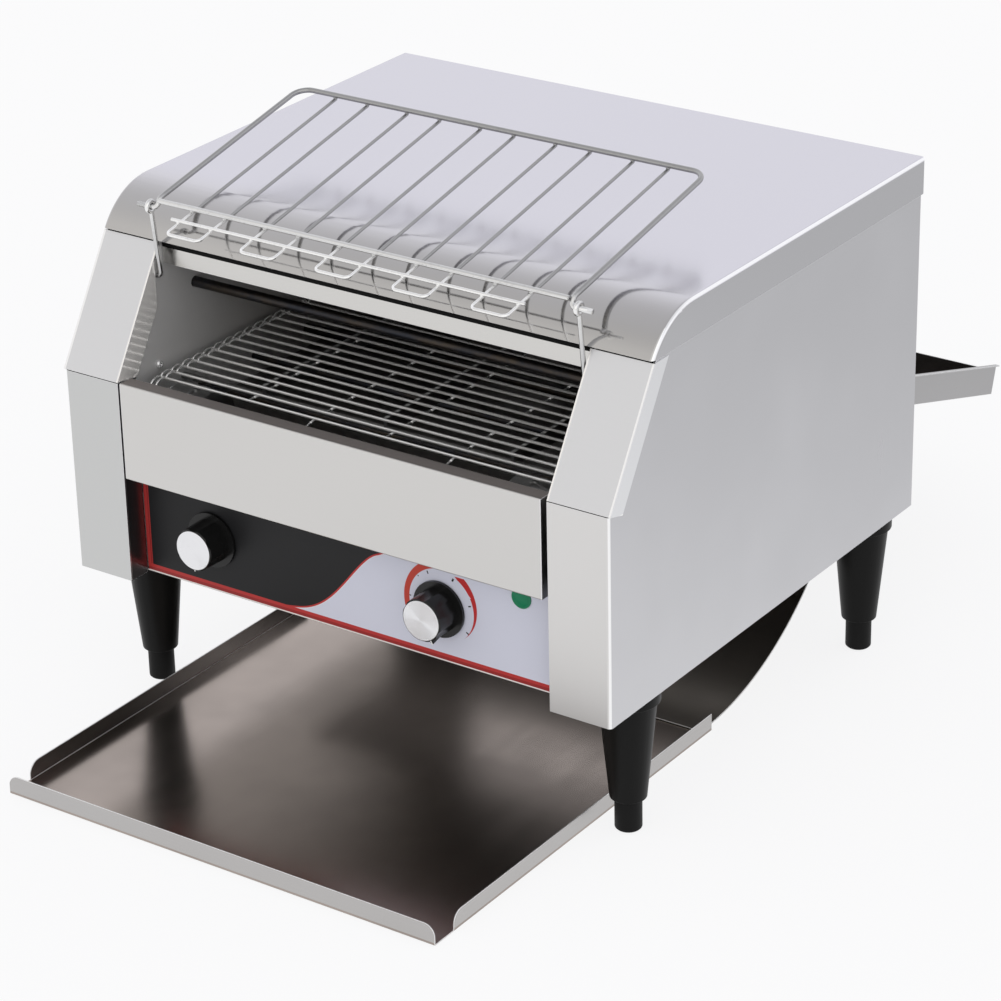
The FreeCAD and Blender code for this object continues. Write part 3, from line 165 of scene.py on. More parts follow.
class Value:
    """A number that varies over a surface, so that shader maths reads as plain Python."""

    def __init__(self, finish, socket):
        self.finish = finish
        self.socket = socket

    def math(self, operation, first, second=None):
        inputs = {0: first}
        if second is not None:
            inputs[1] = second
        return self.finish.node("ShaderNodeMath", {"operation": operation}, inputs)

    def __add__(self, other):
        return self.math("ADD", self, other)

    def __sub__(self, other):
        return self.math("SUBTRACT", self, other)

    def __mul__(self, other):
        return self.math("MULTIPLY", self, other)

    def __truediv__(self, other):
        return self.math("DIVIDE", self, other)

    def __rtruediv__(self, other):
        return self.math("DIVIDE", other, self)

    def __pow__(self, other):
        return self.math("POWER", self, other)

    def __mod__(self, other):
        return self.math("FLOORED_MODULO", self, other)

    def __rsub__(self, other):
        return self.math("SUBTRACT", other, self)

    def __abs__(self):
        return self.math("ABSOLUTE", self)

    __radd__ = __add__
    __rmul__ = __mul__

    def above(self, edge, soft=0.1):
        """One where the value is over the edge, nought under it, with a soft step."""
        return self.spread(edge - soft / 2, edge + soft / 2)

    def below(self, edge, soft=0.1):
        """One where the value is under the edge."""
        return 1 - self.above(edge, soft)

    def between(self, low, high, soft=0.1):
        """One where the value is over the low edge and under the high one."""
        return self.above(low, soft) * self.below(high, soft)

    def most(self, other):
        """The larger of two values."""
        return self.math("MAXIMUM", self, other)

    def spread(self, low, high, to_low=0.0, to_high=1.0):
        """The value from low to high, taken smoothly to another range."""
        return self.finish.node("ShaderNodeMapRange", {"interpolation_type": "SMOOTHSTEP"}, {
            "Value": self, "From Min": low, "From Max": high, "To Min": to_low,
            "To Max": to_high})


class Shading:
    """A node tree, with short ways to add what the finishes need."""

    def __init__(self, tree):
        self.tree = tree

    def node(self, kind, settings, sockets, output=0):
        """Adds one node: its settings first, then a value or a link for each socket."""
        made = self.tree.nodes.new(kind)
        for name, value in settings.items():
            setattr(made, name, value)
        for name, value in sockets.items():
            self.join(made.inputs[name], value)
        return Value(self, made.outputs[output])

    def join(self, socket, value):
        """Links a value to a socket, or sets the socket to what doesn't vary."""
        if isinstance(value, Value):
            self.tree.links.new(value.socket, socket)
        else:
            socket.default_value = value

    def spot(self, scale=(1, 1, 1), shift=(0, 0, 0)):
        """The place on the piece, in metres, stretched and moved."""
        here = self.node("ShaderNodeTexCoord", {}, {}, "Object")
        return self.node("ShaderNodeMapping", {}, {
            "Vector": here, "Location": shift, "Scale": scale})

    def parts(self, spot):
        """The three numbers of a vector."""
        split = self.node("ShaderNodeSeparateXYZ", {}, {"Vector": spot})
        return [Value(self, socket) for socket in split.socket.node.outputs]

    def millimetres(self):
        """The place on the piece in the casing's own millimetres: across, back and up."""
        return self.parts(self.spot((1000, 1000, 1000), (0, MIDDLE, -LEG)))

    def noise(self, scale, detail=2.0, rough=0.5, warp=0.0):
        """Soft noise from nought to one, with one scale or one for each direction."""
        if not isinstance(scale, tuple):
            scale = (scale, scale, scale)
        return self.node("ShaderNodeTexNoise", {}, {
            "Vector": self.spot(scale), "Scale": 1.0, "Detail": detail, "Roughness": rough,
            "Distortion": warp}, "Fac")

    def blend(self, share, first, second):
        """A colour between two others."""
        return self.node("ShaderNodeMix", {"data_type": "RGBA"}, {0: share, 6: first, 7: second},
                         2)

    def bump(self, height, distance, strength=1.0, normal=None):
        """The normal of an uneven surface, over another normal where there is one."""
        sockets = {"Height": height, "Distance": distance, "Strength": strength}
        if normal is not None:
            sockets["Normal"] = normal
        return self.node("ShaderNodeBump", {}, sockets, "Normal")

    def seen(self):
        """One for what shows straight, in a reflection or through glass."""
        path = self.node("ShaderNodeLightPath", {}, {}).socket.node
        rays = [Value(self, path.outputs[name]) for name in
                ("Is Camera Ray", "Is Glossy Ray", "Is Transmission Ray")]
        return self.node("ShaderNodeClamp", {}, {"Value": rays[0] + rays[1] + rays[2]})


class Finish(Shading):
    """One material, built on the Principled shader."""

    def __init__(self, name, **steady):
        self.material = bpy.data.materials.new(name)
        self.material.use_nodes = True
        super().__init__(self.material.node_tree)
        self.shader = self.tree.nodes["Principled BSDF"]
        for socket, value in steady.items():
            self.shader.inputs[socket.replace("_", " ")].default_value = value

    def waves(self, drawn, scale):
        """The normal of sheet steel: its drawn lines on a faint waviness."""
        normal = self.bump(drawn, 0.000006, 0.35)
        return self.bump(self.noise(scale, 1.0), 0.0006, 0.2, normal)

    def paint(self, **sockets):
        """Joins varying values to the shader's sockets."""
        for socket, value in sockets.items():
            self.join(self.shader.inputs[socket.replace("_", " ")], value)
        return self.material


def painted_highlight_steel(name, colour):
    """Cut and folded edges, painted near white as a painted highlight, with small darker nicks.
    """
    finish = Finish(name, Metallic=1.0)
    nick = finish.noise(260, 3.0)
    return finish.paint(Base_Color=finish.blend(nick, shaded(colour, 0.88), rgba(colour)),
                        Roughness=0.5 + (nick - 0.5) * 0.2)


def side_steel(name, colour):
    """Side sheets drawn upwards, painted shade in the pillars' returns, painted highlight on
    folds.
    """
    finish = Finish(name, Metallic=1.0)
    x, y, _ = finish.millimetres()
    drawn = finish.noise((1100, 1100, 9), 3.0, 0.6)
    cloud = finish.noise(5, 3.0, 0.55)
    shade = finish.blend(cloud.spread(0.3, 0.7) * 0.9 + drawn * 0.1, shaded(colour, 0.965),
                         shaded(colour, 1.055))
    # Painted shade: the returns inside the mouth are painted far darker than the sheet.
    inside = abs(x).below(WALL_INNER, 0.3)
    shade = finish.blend(inside, shade, shaded(colour, 0.35))
    # Painted light: the right pillar's upright front is painted lighter and warmer than the left.
    front = finish.blend(x.above(0, 1), rgba((0.6, 0.605, 0.6)), rgba((0.71, 0.7, 0.69)))
    face = y.below(PILLAR_FACE, 0.5)
    shade = finish.blend(face, shade, front)
    # Painted highlight: a near-white line along the pillar front's outer edge.
    painted_highlight_line = abs(x).above(CASING_HALF - 1.6, 0.5) * face
    shade = finish.blend(painted_highlight_line, shade, rgba((0.97, 0.97, 0.97)))
    gloss = 0.3 + (cloud - 0.5) * 0.1 + (drawn - 0.5) * 0.03
    return finish.paint(Base_Color=shade, Roughness=gloss, Normal=finish.waves(drawn, 2.2))


def sheet_steel(name, colour, rough, along):
    """Sheet steel: fine drawn lines along one direction, cloudy marks, a faint waviness."""
    finish = Finish(name, Metallic=1.0)
    lines = tuple(9 if axis == along else 1100 for axis in "XYZ")
    drawn = finish.noise(lines, 3.0, 0.6)
    cloud = finish.noise(6, 3.0, 0.55)
    shade = finish.blend(drawn * 0.45 + cloud * 0.55, shaded(colour, 0.98), shaded(colour, 1.02))
    gloss = rough + (drawn - 0.5) * 0.05 + (cloud - 0.5) * 0.08
    return finish.paint(Base_Color=shade, Roughness=gloss, Normal=finish.waves(drawn, 2.6))


def facing_steel(name, colour):
    """The sloping pillar fronts: satin outside, and polished on the return inside the mouth."""
    finish = Finish(name)
    x, _, z = finish.millimetres()
    drawn = finish.noise((9, 1100, 1100), 3.0, 0.6)
    cloud = finish.noise(6, 3.0, 0.55)
    inside = abs(x).below(WALL_INNER, 0.3)
    shade = finish.blend(drawn * 0.4 + cloud * 0.6, shaded(colour, 0.98), shaded(colour, 1.02))
    shade = finish.blend(inside, shade, rgba((0.95, 0.93, 0.9)))
    shade = finish.blend(abs(x).above(CASING_HALF + 0.6, 0.2), shade, shaded(colour, 1.12))
    # Painted highlight: white lines along the slope's outer edge and at the foot of the facing.
    painted_highlight_line = abs(x).between(CASING_HALF - 0.7, CASING_HALF + 0.6, 0.3)
    painted_highlight_line = painted_highlight_line.most(z.below(STRIP_FOOT, 0.3))
    shade = finish.blend(painted_highlight_line, shade, rgba((1.0, 1.0, 1.0)))
    gloss = 0.36 + (cloud - 0.5) * 0.08 - inside * 0.29
    return finish.paint(Base_Color=shade, Roughness=gloss, Metallic=1 - inside * 0.6,
                        Normal=finish.bump(drawn, 0.000005, 0.3))


def cover_steel(name, colour, bend, skirt):
    """The top cover: satin and cool on its flat, polished where it bends, with painted reflection
    there.
    """
    finish = Finish(name, Metallic=1.0)
    x, y, _ = finish.millimetres()
    front = y.spread(*COVER_BEND, 1, 0)
    drawn = finish.noise((7, 900, 900), 3.0, 0.6)
    cloud = finish.noise(5, 3.0, 0.55)
    flat = finish.blend(drawn * 0.4 + cloud * 0.6, shaded(colour, 0.985), shaded(colour, 1.015))
    # Painted reflection: the bend is painted darker and warmer than the flat.
    bend_painted_tone = finish.blend(cloud, shaded(bend, 0.95), shaded(bend, 1.05))
    shade = finish.blend(front, flat, bend_painted_tone)
    # Painted shade: the cover's skirt down the sides is painted darker, in the side sheets'
    # colour.
    shade = finish.blend(abs(x).above(CASING_HALF + 0.8, 0.2), shade, shaded(skirt, 0.9))
    # Painted highlight: a near-white line along the cover's side edges.
    painted_highlight_line = abs(x).between(CASING_HALF - 1, CASING_HALF + 0.7, 0.4)
    shade = finish.blend(painted_highlight_line, shade, rgba((0.98, 0.98, 0.99)))
    gloss = 0.2 + (cloud - 0.5) * 0.07 - front * 0.125 + (drawn - 0.5) * 0.02
    wave = finish.noise((3, 5, 3), 1.0)
    return finish.paint(Base_Color=shade, Roughness=gloss,
                        Normal=finish.bump(wave, 0.0005, 0.16))


def front_steel(name, colour):
    """The front panel: drawn across, with the flange along its top dulled and browned."""
    finish = Finish(name)
    _, y, z = finish.millimetres()
    drawn = finish.noise((9, 1100, 1100), 3.0, 0.6)
    cloud = finish.noise(7, 3.0, 0.55)
    shade = finish.blend(drawn * 0.4 + cloud * 0.6, shaded(colour, 0.98), shaded(colour, 1.02))
    flange = z.above(FLANGE[1], 0.4) * y.above(FLANGE[0], 0.5)
    shade = finish.blend(flange, shade, rgba((0.26, 0.235, 0.225)))
    gloss = 0.3 + (cloud - 0.5) * 0.08 + (drawn - 0.5) * 0.03 + flange * 0.15
    return finish.paint(Base_Color=shade, Roughness=gloss, Metallic=1 - flange * 0.5,
                        Normal=finish.waves(drawn, 2.6))


def oven_steel(name, colour, rough, metal):
    """Oven steel dulled by heat, darker and browner to the back: heat tint and painted shade."""
    finish = Finish(name, Metallic=metal)
    _, y, _ = finish.millimetres()
    cloud = finish.noise(14, 4.0, 0.6)
    drawn = finish.noise((700, 12, 700), 3.0, 0.6)
    # Painted shade, with some heat tint: darker and browner with depth into the oven.
    painted_shade_depth = y.spread(*OVEN_DEPTH) * 0.8 + cloud * 0.2
    warm = rgba((colour[0] * 0.38, colour[1] * 0.36, colour[2] * 0.34))
    shade = finish.blend(painted_shade_depth, rgba(colour), warm)
    gloss = rough + (cloud - 0.5) * 0.14 + (drawn - 0.5) * 0.04
    return finish.paint(Base_Color=shade, Roughness=gloss,
                        Normal=finish.bump(drawn, 0.000008, 0.3))


def tray_steel(name, colour, rough, tint, inner, behind=False):
    """Tray sheet with fine lines and a warm tint, its inside painted darker as a painted
    reflection.
    """
    finish = Finish(name, Metallic=1.0)
    x, _, z = finish.millimetres()
    drawn = finish.noise((8, 900, 900), 3.0, 0.6)
    rubbed = finish.noise((60, 5, 60), 3.0, 0.6)
    cloud = finish.noise(7, 3.0, 0.6)
    shade = finish.blend(cloud, rgba(colour), rgba(tint))
    shade = finish.blend(drawn * 0.35, shade, shaded(colour, 1.12))
    # Painted reflection: the front tray's floor is painted brown, the rear tray's inside near
    # black.
    inside = abs(x).below(REAR_TRAY_HALF, 0.3) if behind else z.below(TRAY_FLOOR, 0.5)
    painted_reflection = finish.blend(cloud.spread(0.3, 0.7), rgba(inner), shaded(inner, 0.8))
    shade = finish.blend(inside, shade, painted_reflection)
    gloss = rough + (cloud - 0.5) * 0.1 + (rubbed - 0.5) * 0.07 + (drawn - 0.5) * 0.03
    return finish.paint(Base_Color=shade, Roughness=gloss,
                        Normal=finish.bump(drawn, 0.000008, 0.4))


def turned_metal(name, colour, rough, metal=1.0):
    """Bar, wire or shaft: smooth metal with small spots and dull patches."""
    finish = Finish(name, Metallic=metal)
    fine = finish.noise(420)
    cloud = finish.noise(38, 3.0)
    shade = finish.blend(fine * 0.5 + cloud * 0.5, shaded(colour, 0.9), rgba(colour))
    return finish.paint(Base_Color=shade, Roughness=rough + (cloud - 0.5) * 0.12,
                        Normal=finish.bump(fine, 0.00003, 0.3))


def rack_chrome(name, painted_reflection, dull):
    """Plated wire, painted bright along the front as a painted highlight."""
    finish = Finish(name, Metallic=1.0)
    _, y, _ = finish.millimetres()
    fine = finish.noise(420)
    cloud = finish.noise(38, 3.0)
    # Painted highlight: the front wires are painted near white, the rest dull grey.
    shade = finish.blend(y.spread(*RACK_PAINTED_HIGHLIGHT), rgba(painted_reflection), rgba(dull))
    shade = finish.blend((fine * 0.5 + cloud * 0.5).spread(0.3, 0.5, 0.16, 0), shade,
                         rgba((0.2, 0.2, 0.2)))
    return finish.paint(Base_Color=shade, Roughness=0.13 + (cloud - 0.5) * 0.1,
                        Normal=finish.bump(fine, 0.00003, 0.3))


def heater_steel(name):
    """Scaled heater tubes painted near black as painted shade, with faint straw and blue heat
    patches.
    """
    finish = Finish(name, Metallic=1.0)
    patch = finish.noise((30, 90, 90), 4.0, 0.65, 0.4)
    scale = finish.noise(520, 2.0)
    shade = finish.blend(patch.spread(0.35, 0.65), rgba((0.075, 0.062, 0.05)),
                         rgba((0.04, 0.042, 0.05)))
    return finish.paint(Base_Color=shade, Roughness=0.42 + (scale - 0.5) * 0.2,
                        Normal=finish.bump(scale, 0.00012, 0.5))


def moulded_plastic(name, colour, rough, shine=0.3):
    """Moulded plastic with a fine even grain and faint flow marks."""
    finish = Finish(name, Specular_IOR_Level=shine)
    fine = finish.noise(1300, 1.5)
    cloud = finish.noise(24, 3.0)
    shade = finish.blend(cloud, rgba(colour), rgba([part * 1.3 + 0.002 for part in colour]))
    return finish.paint(Base_Color=shade, Roughness=rough + (cloud - 0.5) * 0.1,
                        Normal=finish.bump(fine, 0.00005, 0.4))


def enamel(name, colour, rough):
    """Paint on small marks, with tiny unevenness."""
    finish = Finish(name, Specular_IOR_Level=0.4)
    fine = finish.noise(900, 2.0)
    return finish.paint(Base_Color=finish.blend(fine, shaded(colour, 0.93), rgba(colour)),
                        Roughness=rough + (fine - 0.5) * 0.1)


def printed_film(settings):
    """The control panel's film: a black field with a curved edge, red lines and crescents."""
    finish = Finish("printed_film", Specular_IOR_Level=0.22)
    x, _, z = finish.millimetres()

    # The dark field's edge has a rise and a climb over each spot of the panel's width, and off
    # says how far a spot lies over it, measured square to it.
    along = (x - EDGE_START) / EDGE_SPAN
    rise = powers(along, EDGE_CURVE)
    slopes = [part * (4 - number) for number, part in enumerate(EDGE_CURVE[:-1])]
    climb = powers(along, slopes) / EDGE_SPAN
    over = x.above(EDGE_KNEE[0], 0.01)
    edge = rise + over * ((x - EDGE_KNEE[0]) * EDGE_SLOPE + EDGE_KNEE[1] - rise)
    slant = climb + over * (EDGE_SLOPE - climb)
    off = (z - edge) / (slant * slant + 1) ** 0.5
    paper = finish.noise(900, 2.0)
    cloud = finish.noise(9, 2.0)
    black = finish.blend(cloud, rgba(settings.black_field), shaded(settings.black_field, 1.5))
    grey = finish.blend(paper * 0.5 + cloud * 0.5, shaded(settings.grey_field, 0.98),
                        shaded(settings.grey_field, 1.02))
    red = finish.blend(paper, shaded(settings.red_line, 0.94), rgba(settings.red_line))
    dark_red = shaded(settings.red_line, 0.62)
    pale = rgba((0.82, 0.76, 0.74))
    shade = finish.blend(off.above(0, 0.2), grey, black)
    shade = finish.blend(abs(off + 0.1).below(0.62, 0.25), shade, red)
    shade = finish.blend(off.between(-1.5, -0.75, 0.3) * 0.45, shade, pale)
    shade = knob_rings(finish, settings, x, z, shade)

    # The border's lines, along the left edge and then along the lower one
    shade = finish.blend(x.below(-182.2, 0.3), shade, red)
    shade = finish.blend(x.between(-184.0, -183.0, 0.4), shade, dark_red)
    shade = finish.blend(z.below(7.6, 0.25), shade, red)
    shade = finish.blend(z.below(5.0, 0.3), shade, dark_red)
    # Painted highlight: the pale line along the bottom stands for light on the panel's lower lip.
    shade = finish.blend(z.below(2.5, 0.2), shade, pale)
    return finish.paint(Base_Color=shade, Roughness=0.42 + (cloud - 0.5) * 0.1,
                        Normal=finish.bump(paper, 0.00003, 0.3))


def circle(x, z, across, up):
    """How far a spot on the panel lies from a circle's middle."""
    return ((x - across) * (x - across) + (z - up) * (z - up)) ** 0.5


def knob_rings(finish, settings, x, z, shade):
    """The two crescents, each inside one circle and outside another, and the tick marks."""
    left = circle(x, z, 86.3, 44.6).below(35.6, 0.3) * circle(x, z, 83.8, 44.8).above(28.4, 0.3)
    left = left * x.below(77, 0.4) * z.above(24, 0.4)
    shade = finish.blend(left, shade, rgba(settings.left_crescent))
    right = circle(x, z, 83.0, 47.7).below(30.7, 0.3) * circle(x, z, 82.4, 44.2).above(28.5, 0.3)
    right = right * (x + z).above(165.8, 0.3).most(z.below(57, 0.3)) * z.below(70.8, 0.3)
    right = right * x.above(94, 0.4)
    shade = finish.blend(right, shade, rgba(settings.right_crescent))
    ink = None
    for degrees, inner, outer, half in TICKS:
        turn = math.radians(degrees)
        out = (x - SPEED_KNOB[0]) * math.cos(turn) + (z - SPEED_KNOB[1]) * math.sin(turn)
        side = (z - SPEED_KNOB[1]) * math.cos(turn) - (x - SPEED_KNOB[0]) * math.sin(turn)
        tick = out.between(inner, outer, 0.25) * abs(side).below(half, 0.25)
        ink = tick if ink is None else ink.most(tick)
    return finish.blend(ink, shade, rgba((0.015, 0.015, 0.018)))


def spun_cap(name, colour):
    """Turned aluminium: fine rings round each knob's middle, which draw out the highlight."""
    finish = Finish(name, Metallic=1.0, Roughness=0.24)
    x, _, z = finish.millimetres()
    side = x.above((SPEED_KNOB[0] + MODE_KNOB[0]) / 2, 0.01)
    across = x - (side * (SPEED_KNOB[0] - MODE_KNOB[0]) + MODE_KNOB[0])
    up = z - (side * (SPEED_KNOB[1] - MODE_KNOB[1]) + MODE_KNOB[1])
    reach = (across * across + up * up) ** 0.5
    ring = abs((reach * 3.7) % 1.0 - 0.5) * 4 - 1
    tip = ring * 0.3 / (reach + 0.2)
    lean = finish.node("ShaderNodeCombineXYZ", {}, {"X": across * tip, "Y": 0.0, "Z": up * tip})
    lean = finish.node("ShaderNodeVectorTransform",
                       {"vector_type": "VECTOR", "convert_from": "OBJECT", "convert_to": "WORLD"},
                       {"Vector": lean})
    face = finish.node("ShaderNodeNewGeometry", {}, {}, "Normal")
    normal = finish.node("ShaderNodeVectorMath", {"operation": "ADD"}, {0: face, 1: lean})
    normal = finish.node("ShaderNodeVectorMath", {"operation": "NORMALIZE"}, {0: normal})
    shade = finish.blend(ring * 0.5 + 0.5, shaded(colour, 0.93), rgba(colour))
    return finish.paint(Base_Color=shade, Normal=normal)


def lamp_lens(name, colour):
    """Green lens with fine ribs moulded behind it."""
    finish = Finish(name, Roughness=0.3, Specular_IOR_Level=0.25)
    x, _, _ = finish.millimetres()
    ribs = abs((x * 0.8) % 1.0 - 0.5)
    return finish.paint(Base_Color=finish.blend(ribs * 0.4, rgba(colour), shaded(colour, 0.7)),
                        Normal=finish.bump(ribs, 0.00005, 0.2))


def dress(material, *names):
    """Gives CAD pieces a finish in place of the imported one."""
    for name in names:
        slots = nodes[name].data.materials
        slots.clear()
        slots.append(material)


def soften(width, *names, flat=True, edge=None):
    """Merges a CAD piece's loose triangles and rounds its sharp edges."""
    for name in names:
        thing = nodes[name]
        thing.data.shade_smooth()
        weld = thing.modifiers.new("Merge", "WELD")
        weld.merge_threshold = 1e-6
        if flat:
            plain = thing.modifiers.new("Flat faces", "DECIMATE")
            plain.decimate_type = "DISSOLVE"
            plain.angle_limit = math.radians(0.4)
        if width:
            bevel = thing.modifiers.new("Edges", "BEVEL")
            bevel.width = width * MM
            bevel.segments = 2
            bevel.limit_method = "ANGLE"
            bevel.angle_limit = math.radians(28)
            bevel.harden_normals = True
            bevel.miter_outer = "MITER_ARC"
            # The edge finish goes on the bevels: a painted highlight along the rounded edges.
            if edge:
                thing.data.materials.append(edge)
                bevel.material = 1
        even = thing.modifiers.new("Even shading", "WEIGHTED_NORMAL")
        even.keep_sharp = True
        even.weight = 100


def piece(name, shape, body, material, smooth=True):
    """Turns a bmesh into a piece that rides on a body."""
    mesh = bpy.data.meshes.new(name)
    bmesh.ops.recalc_face_normals(shape, faces=shape.faces)
    shape.to_mesh(mesh)
    shape.free()
    mesh.materials.append(material)
    if smooth:
        mesh.shade_smooth()
    thing = bpy.data.objects.new(name, mesh)
    bpy.context.scene.collection.objects.link(thing)
    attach(thing, body)
    return thing


def add_screw(shape, spot, out, radius, height):
    """A domed screw head with a round socket, standing on a face."""
    made = bmesh.ops.create_cone(shape, cap_ends=True, segments=20, radius1=radius * MM,
                                 radius2=radius * MM, depth=height * MM)
    verts = made["verts"]
    bmesh.ops.translate(shape, verts=verts, vec=(0, 0, height / 2 * MM))
    faces = {face for vert in verts for face in vert.link_faces}
    top = max(faces, key=lambda face: face.calc_center_median().z)
    rounded = bmesh.ops.bevel(shape, geom=list(top.edges), offset=height * 0.55 * MM,
                              affect="EDGES", segments=3, profile=0.5, material=-1)
    faces = {face for face in shape.faces if face.is_valid and
             any(vert in set(rounded["verts"]) for vert in face.verts)}
    top = max(faces, key=lambda face: (face.normal.z, face.calc_area()))
    bmesh.ops.inset_region(shape, faces=[top], thickness=radius * 0.32 * MM)
    bmesh.ops.inset_region(shape, faces=[top], thickness=0.02 * MM, depth=-height * 0.45 * MM)
    turn = Vector(out).to_track_quat("Z", "Y").to_matrix().to_4x4()
    loose = set(top.verts)
    grown = list(loose)
    while grown:
        vert = grown.pop()
        for edge in vert.link_edges:
            other = edge.other_vert(vert)
            if other not in loose:
                loose.add(other)
                grown.append(other)
    bmesh.ops.transform(shape, verts=list(loose), matrix=Matrix.Translation(spot) @ turn)


def add_bead(shape, spot, size):
    """A small weld bead on the rack, longer across than it is high."""
    made = bmesh.ops.create_icosphere(shape, subdivisions=2, radius=MM)
    stretch = Matrix.Diagonal((*size, 1.0))
    turn = Matrix.Rotation(RACK_SLOPE, 4, "X")
    bmesh.ops.transform(shape, verts=made["verts"],
                        matrix=Matrix.Translation(spot) @ turn @ stretch)


class ToasterSettings(bpy.types.PropertyGroup):
    # The casing is one steel: these colours differ as painted light, lighter on faces turned up
    # or forward to the light than on the sides.
    casing_colour: bpy.props.FloatVectorProperty(
        name="Casing colour", description="Colour of the brushed casing sheets",
        default=(0.60, 0.60, 0.62), size=3, min=0, max=1, subtype="COLOR")
    front_colour: bpy.props.FloatVectorProperty(
        name="Front colour", description="Colour of the panel under the oven's mouth",
        default=(0.665, 0.655, 0.64), size=3, min=0, max=1, subtype="COLOR")
    facing_colour: bpy.props.FloatVectorProperty(
        name="Facing colour", description="Colour of the sloping pillar fronts",
        default=(0.745, 0.75, 0.765), size=3, min=0, max=1, subtype="COLOR")
    cover_colour: bpy.props.FloatVectorProperty(
        name="Cover colour", description="Colour of the top cover's flat",
        default=(0.665, 0.655, 0.715), size=3, min=0, max=1, subtype="COLOR")
    # The bend's colour is a painted reflection, darker and warmer than the flat.
    painted_bend_reflection: bpy.props.FloatVectorProperty(
        name="Bend colour", description="Colour of the polished bend along the cover's front",
        default=(0.545, 0.535, 0.525), size=3, min=0, max=1, subtype="COLOR")
    black_field: bpy.props.FloatVectorProperty(
        name="Black field", description="Dark field of the control panel's film",
        default=(0.011, 0.011, 0.012), size=3, min=0, max=1, subtype="COLOR")
    grey_field: bpy.props.FloatVectorProperty(
        name="Grey field", description="Pale field of the control panel's film",
        default=(0.67, 0.685, 0.79), size=3, min=0, max=1, subtype="COLOR")
    red_line: bpy.props.FloatVectorProperty(
        name="Red line", description="Border of the control panel's film",
        default=(0.5, 0.042, 0.04), size=3, min=0, max=1, subtype="COLOR")
    left_crescent: bpy.props.FloatVectorProperty(
        name="Left crescent", description="Crescent on the left of the speed knob",
        default=(0.54, 0.06, 0.04), size=3, min=0, max=1, subtype="COLOR")
    right_crescent: bpy.props.FloatVectorProperty(
        name="Right crescent", description="Crescent on the right of the speed knob",
        default=(0.5, 0.03, 0.03), size=3, min=0, max=1, subtype="COLOR")


class TOASTER_OT_casing(bpy.types.Operator):
    """Finish the casing's sheets"""
    bl_idname = "toaster.casing"
    bl_label = "Casing"

    def execute(self, context):
        settings = context.scene.toaster
        sides = ("right_side_cover", "left_side_cover")
        facings = ("right_pillar_facing", "left_pillar_facing")
        walls = ("right_inner_wall", "left_inner_wall")
        dress(side_steel("side_steel", settings.casing_colour), *sides)
        dress(sheet_steel("rear_steel", settings.casing_colour, 0.32, "X"), "rear_panel")
        dress(front_steel("front_steel", settings.front_colour), "front_panel", "control_panel")
        dress(facing_steel("facing_steel", settings.facing_colour), *facings)
        dress(cover_steel("cover_steel", settings.cover_colour, settings.painted_bend_reflection,
                          settings.casing_colour), "top_cover")
        dress(sheet_steel("hood_steel", (0.66, 0.65, 0.63), 0.24, "X"), "hood_strip")
        dress(oven_steel("wall_steel", (0.68, 0.675, 0.67), 0.4, 0.3), *walls)
        dress(oven_steel("oven_steel", (0.3, 0.29, 0.28), 0.4, 0.9), "upper_reflector",
              "lower_reflector")
        dress(sheet_steel("inner_steel", (0.45, 0.445, 0.44), 0.34, "Y"), "base_plate",
              "compartment_cover")
        # Near-white bevels on the casing's edges: a painted highlight.
        bright = painted_highlight_steel("painted_highlight_steel", (0.97, 0.97, 0.98))
        soften(0.5, *sides, *facings, "front_panel", edge=bright)
        soften(0.4, "top_cover", "hood_strip", edge=bright)
        soften(0.3, "control_panel", *walls)
        soften(0.25, "upper_reflector", "lower_reflector", "base_plate", "compartment_cover")
        soften(0.25, "rear_panel", flat=False)
        return {"FINISHED"}


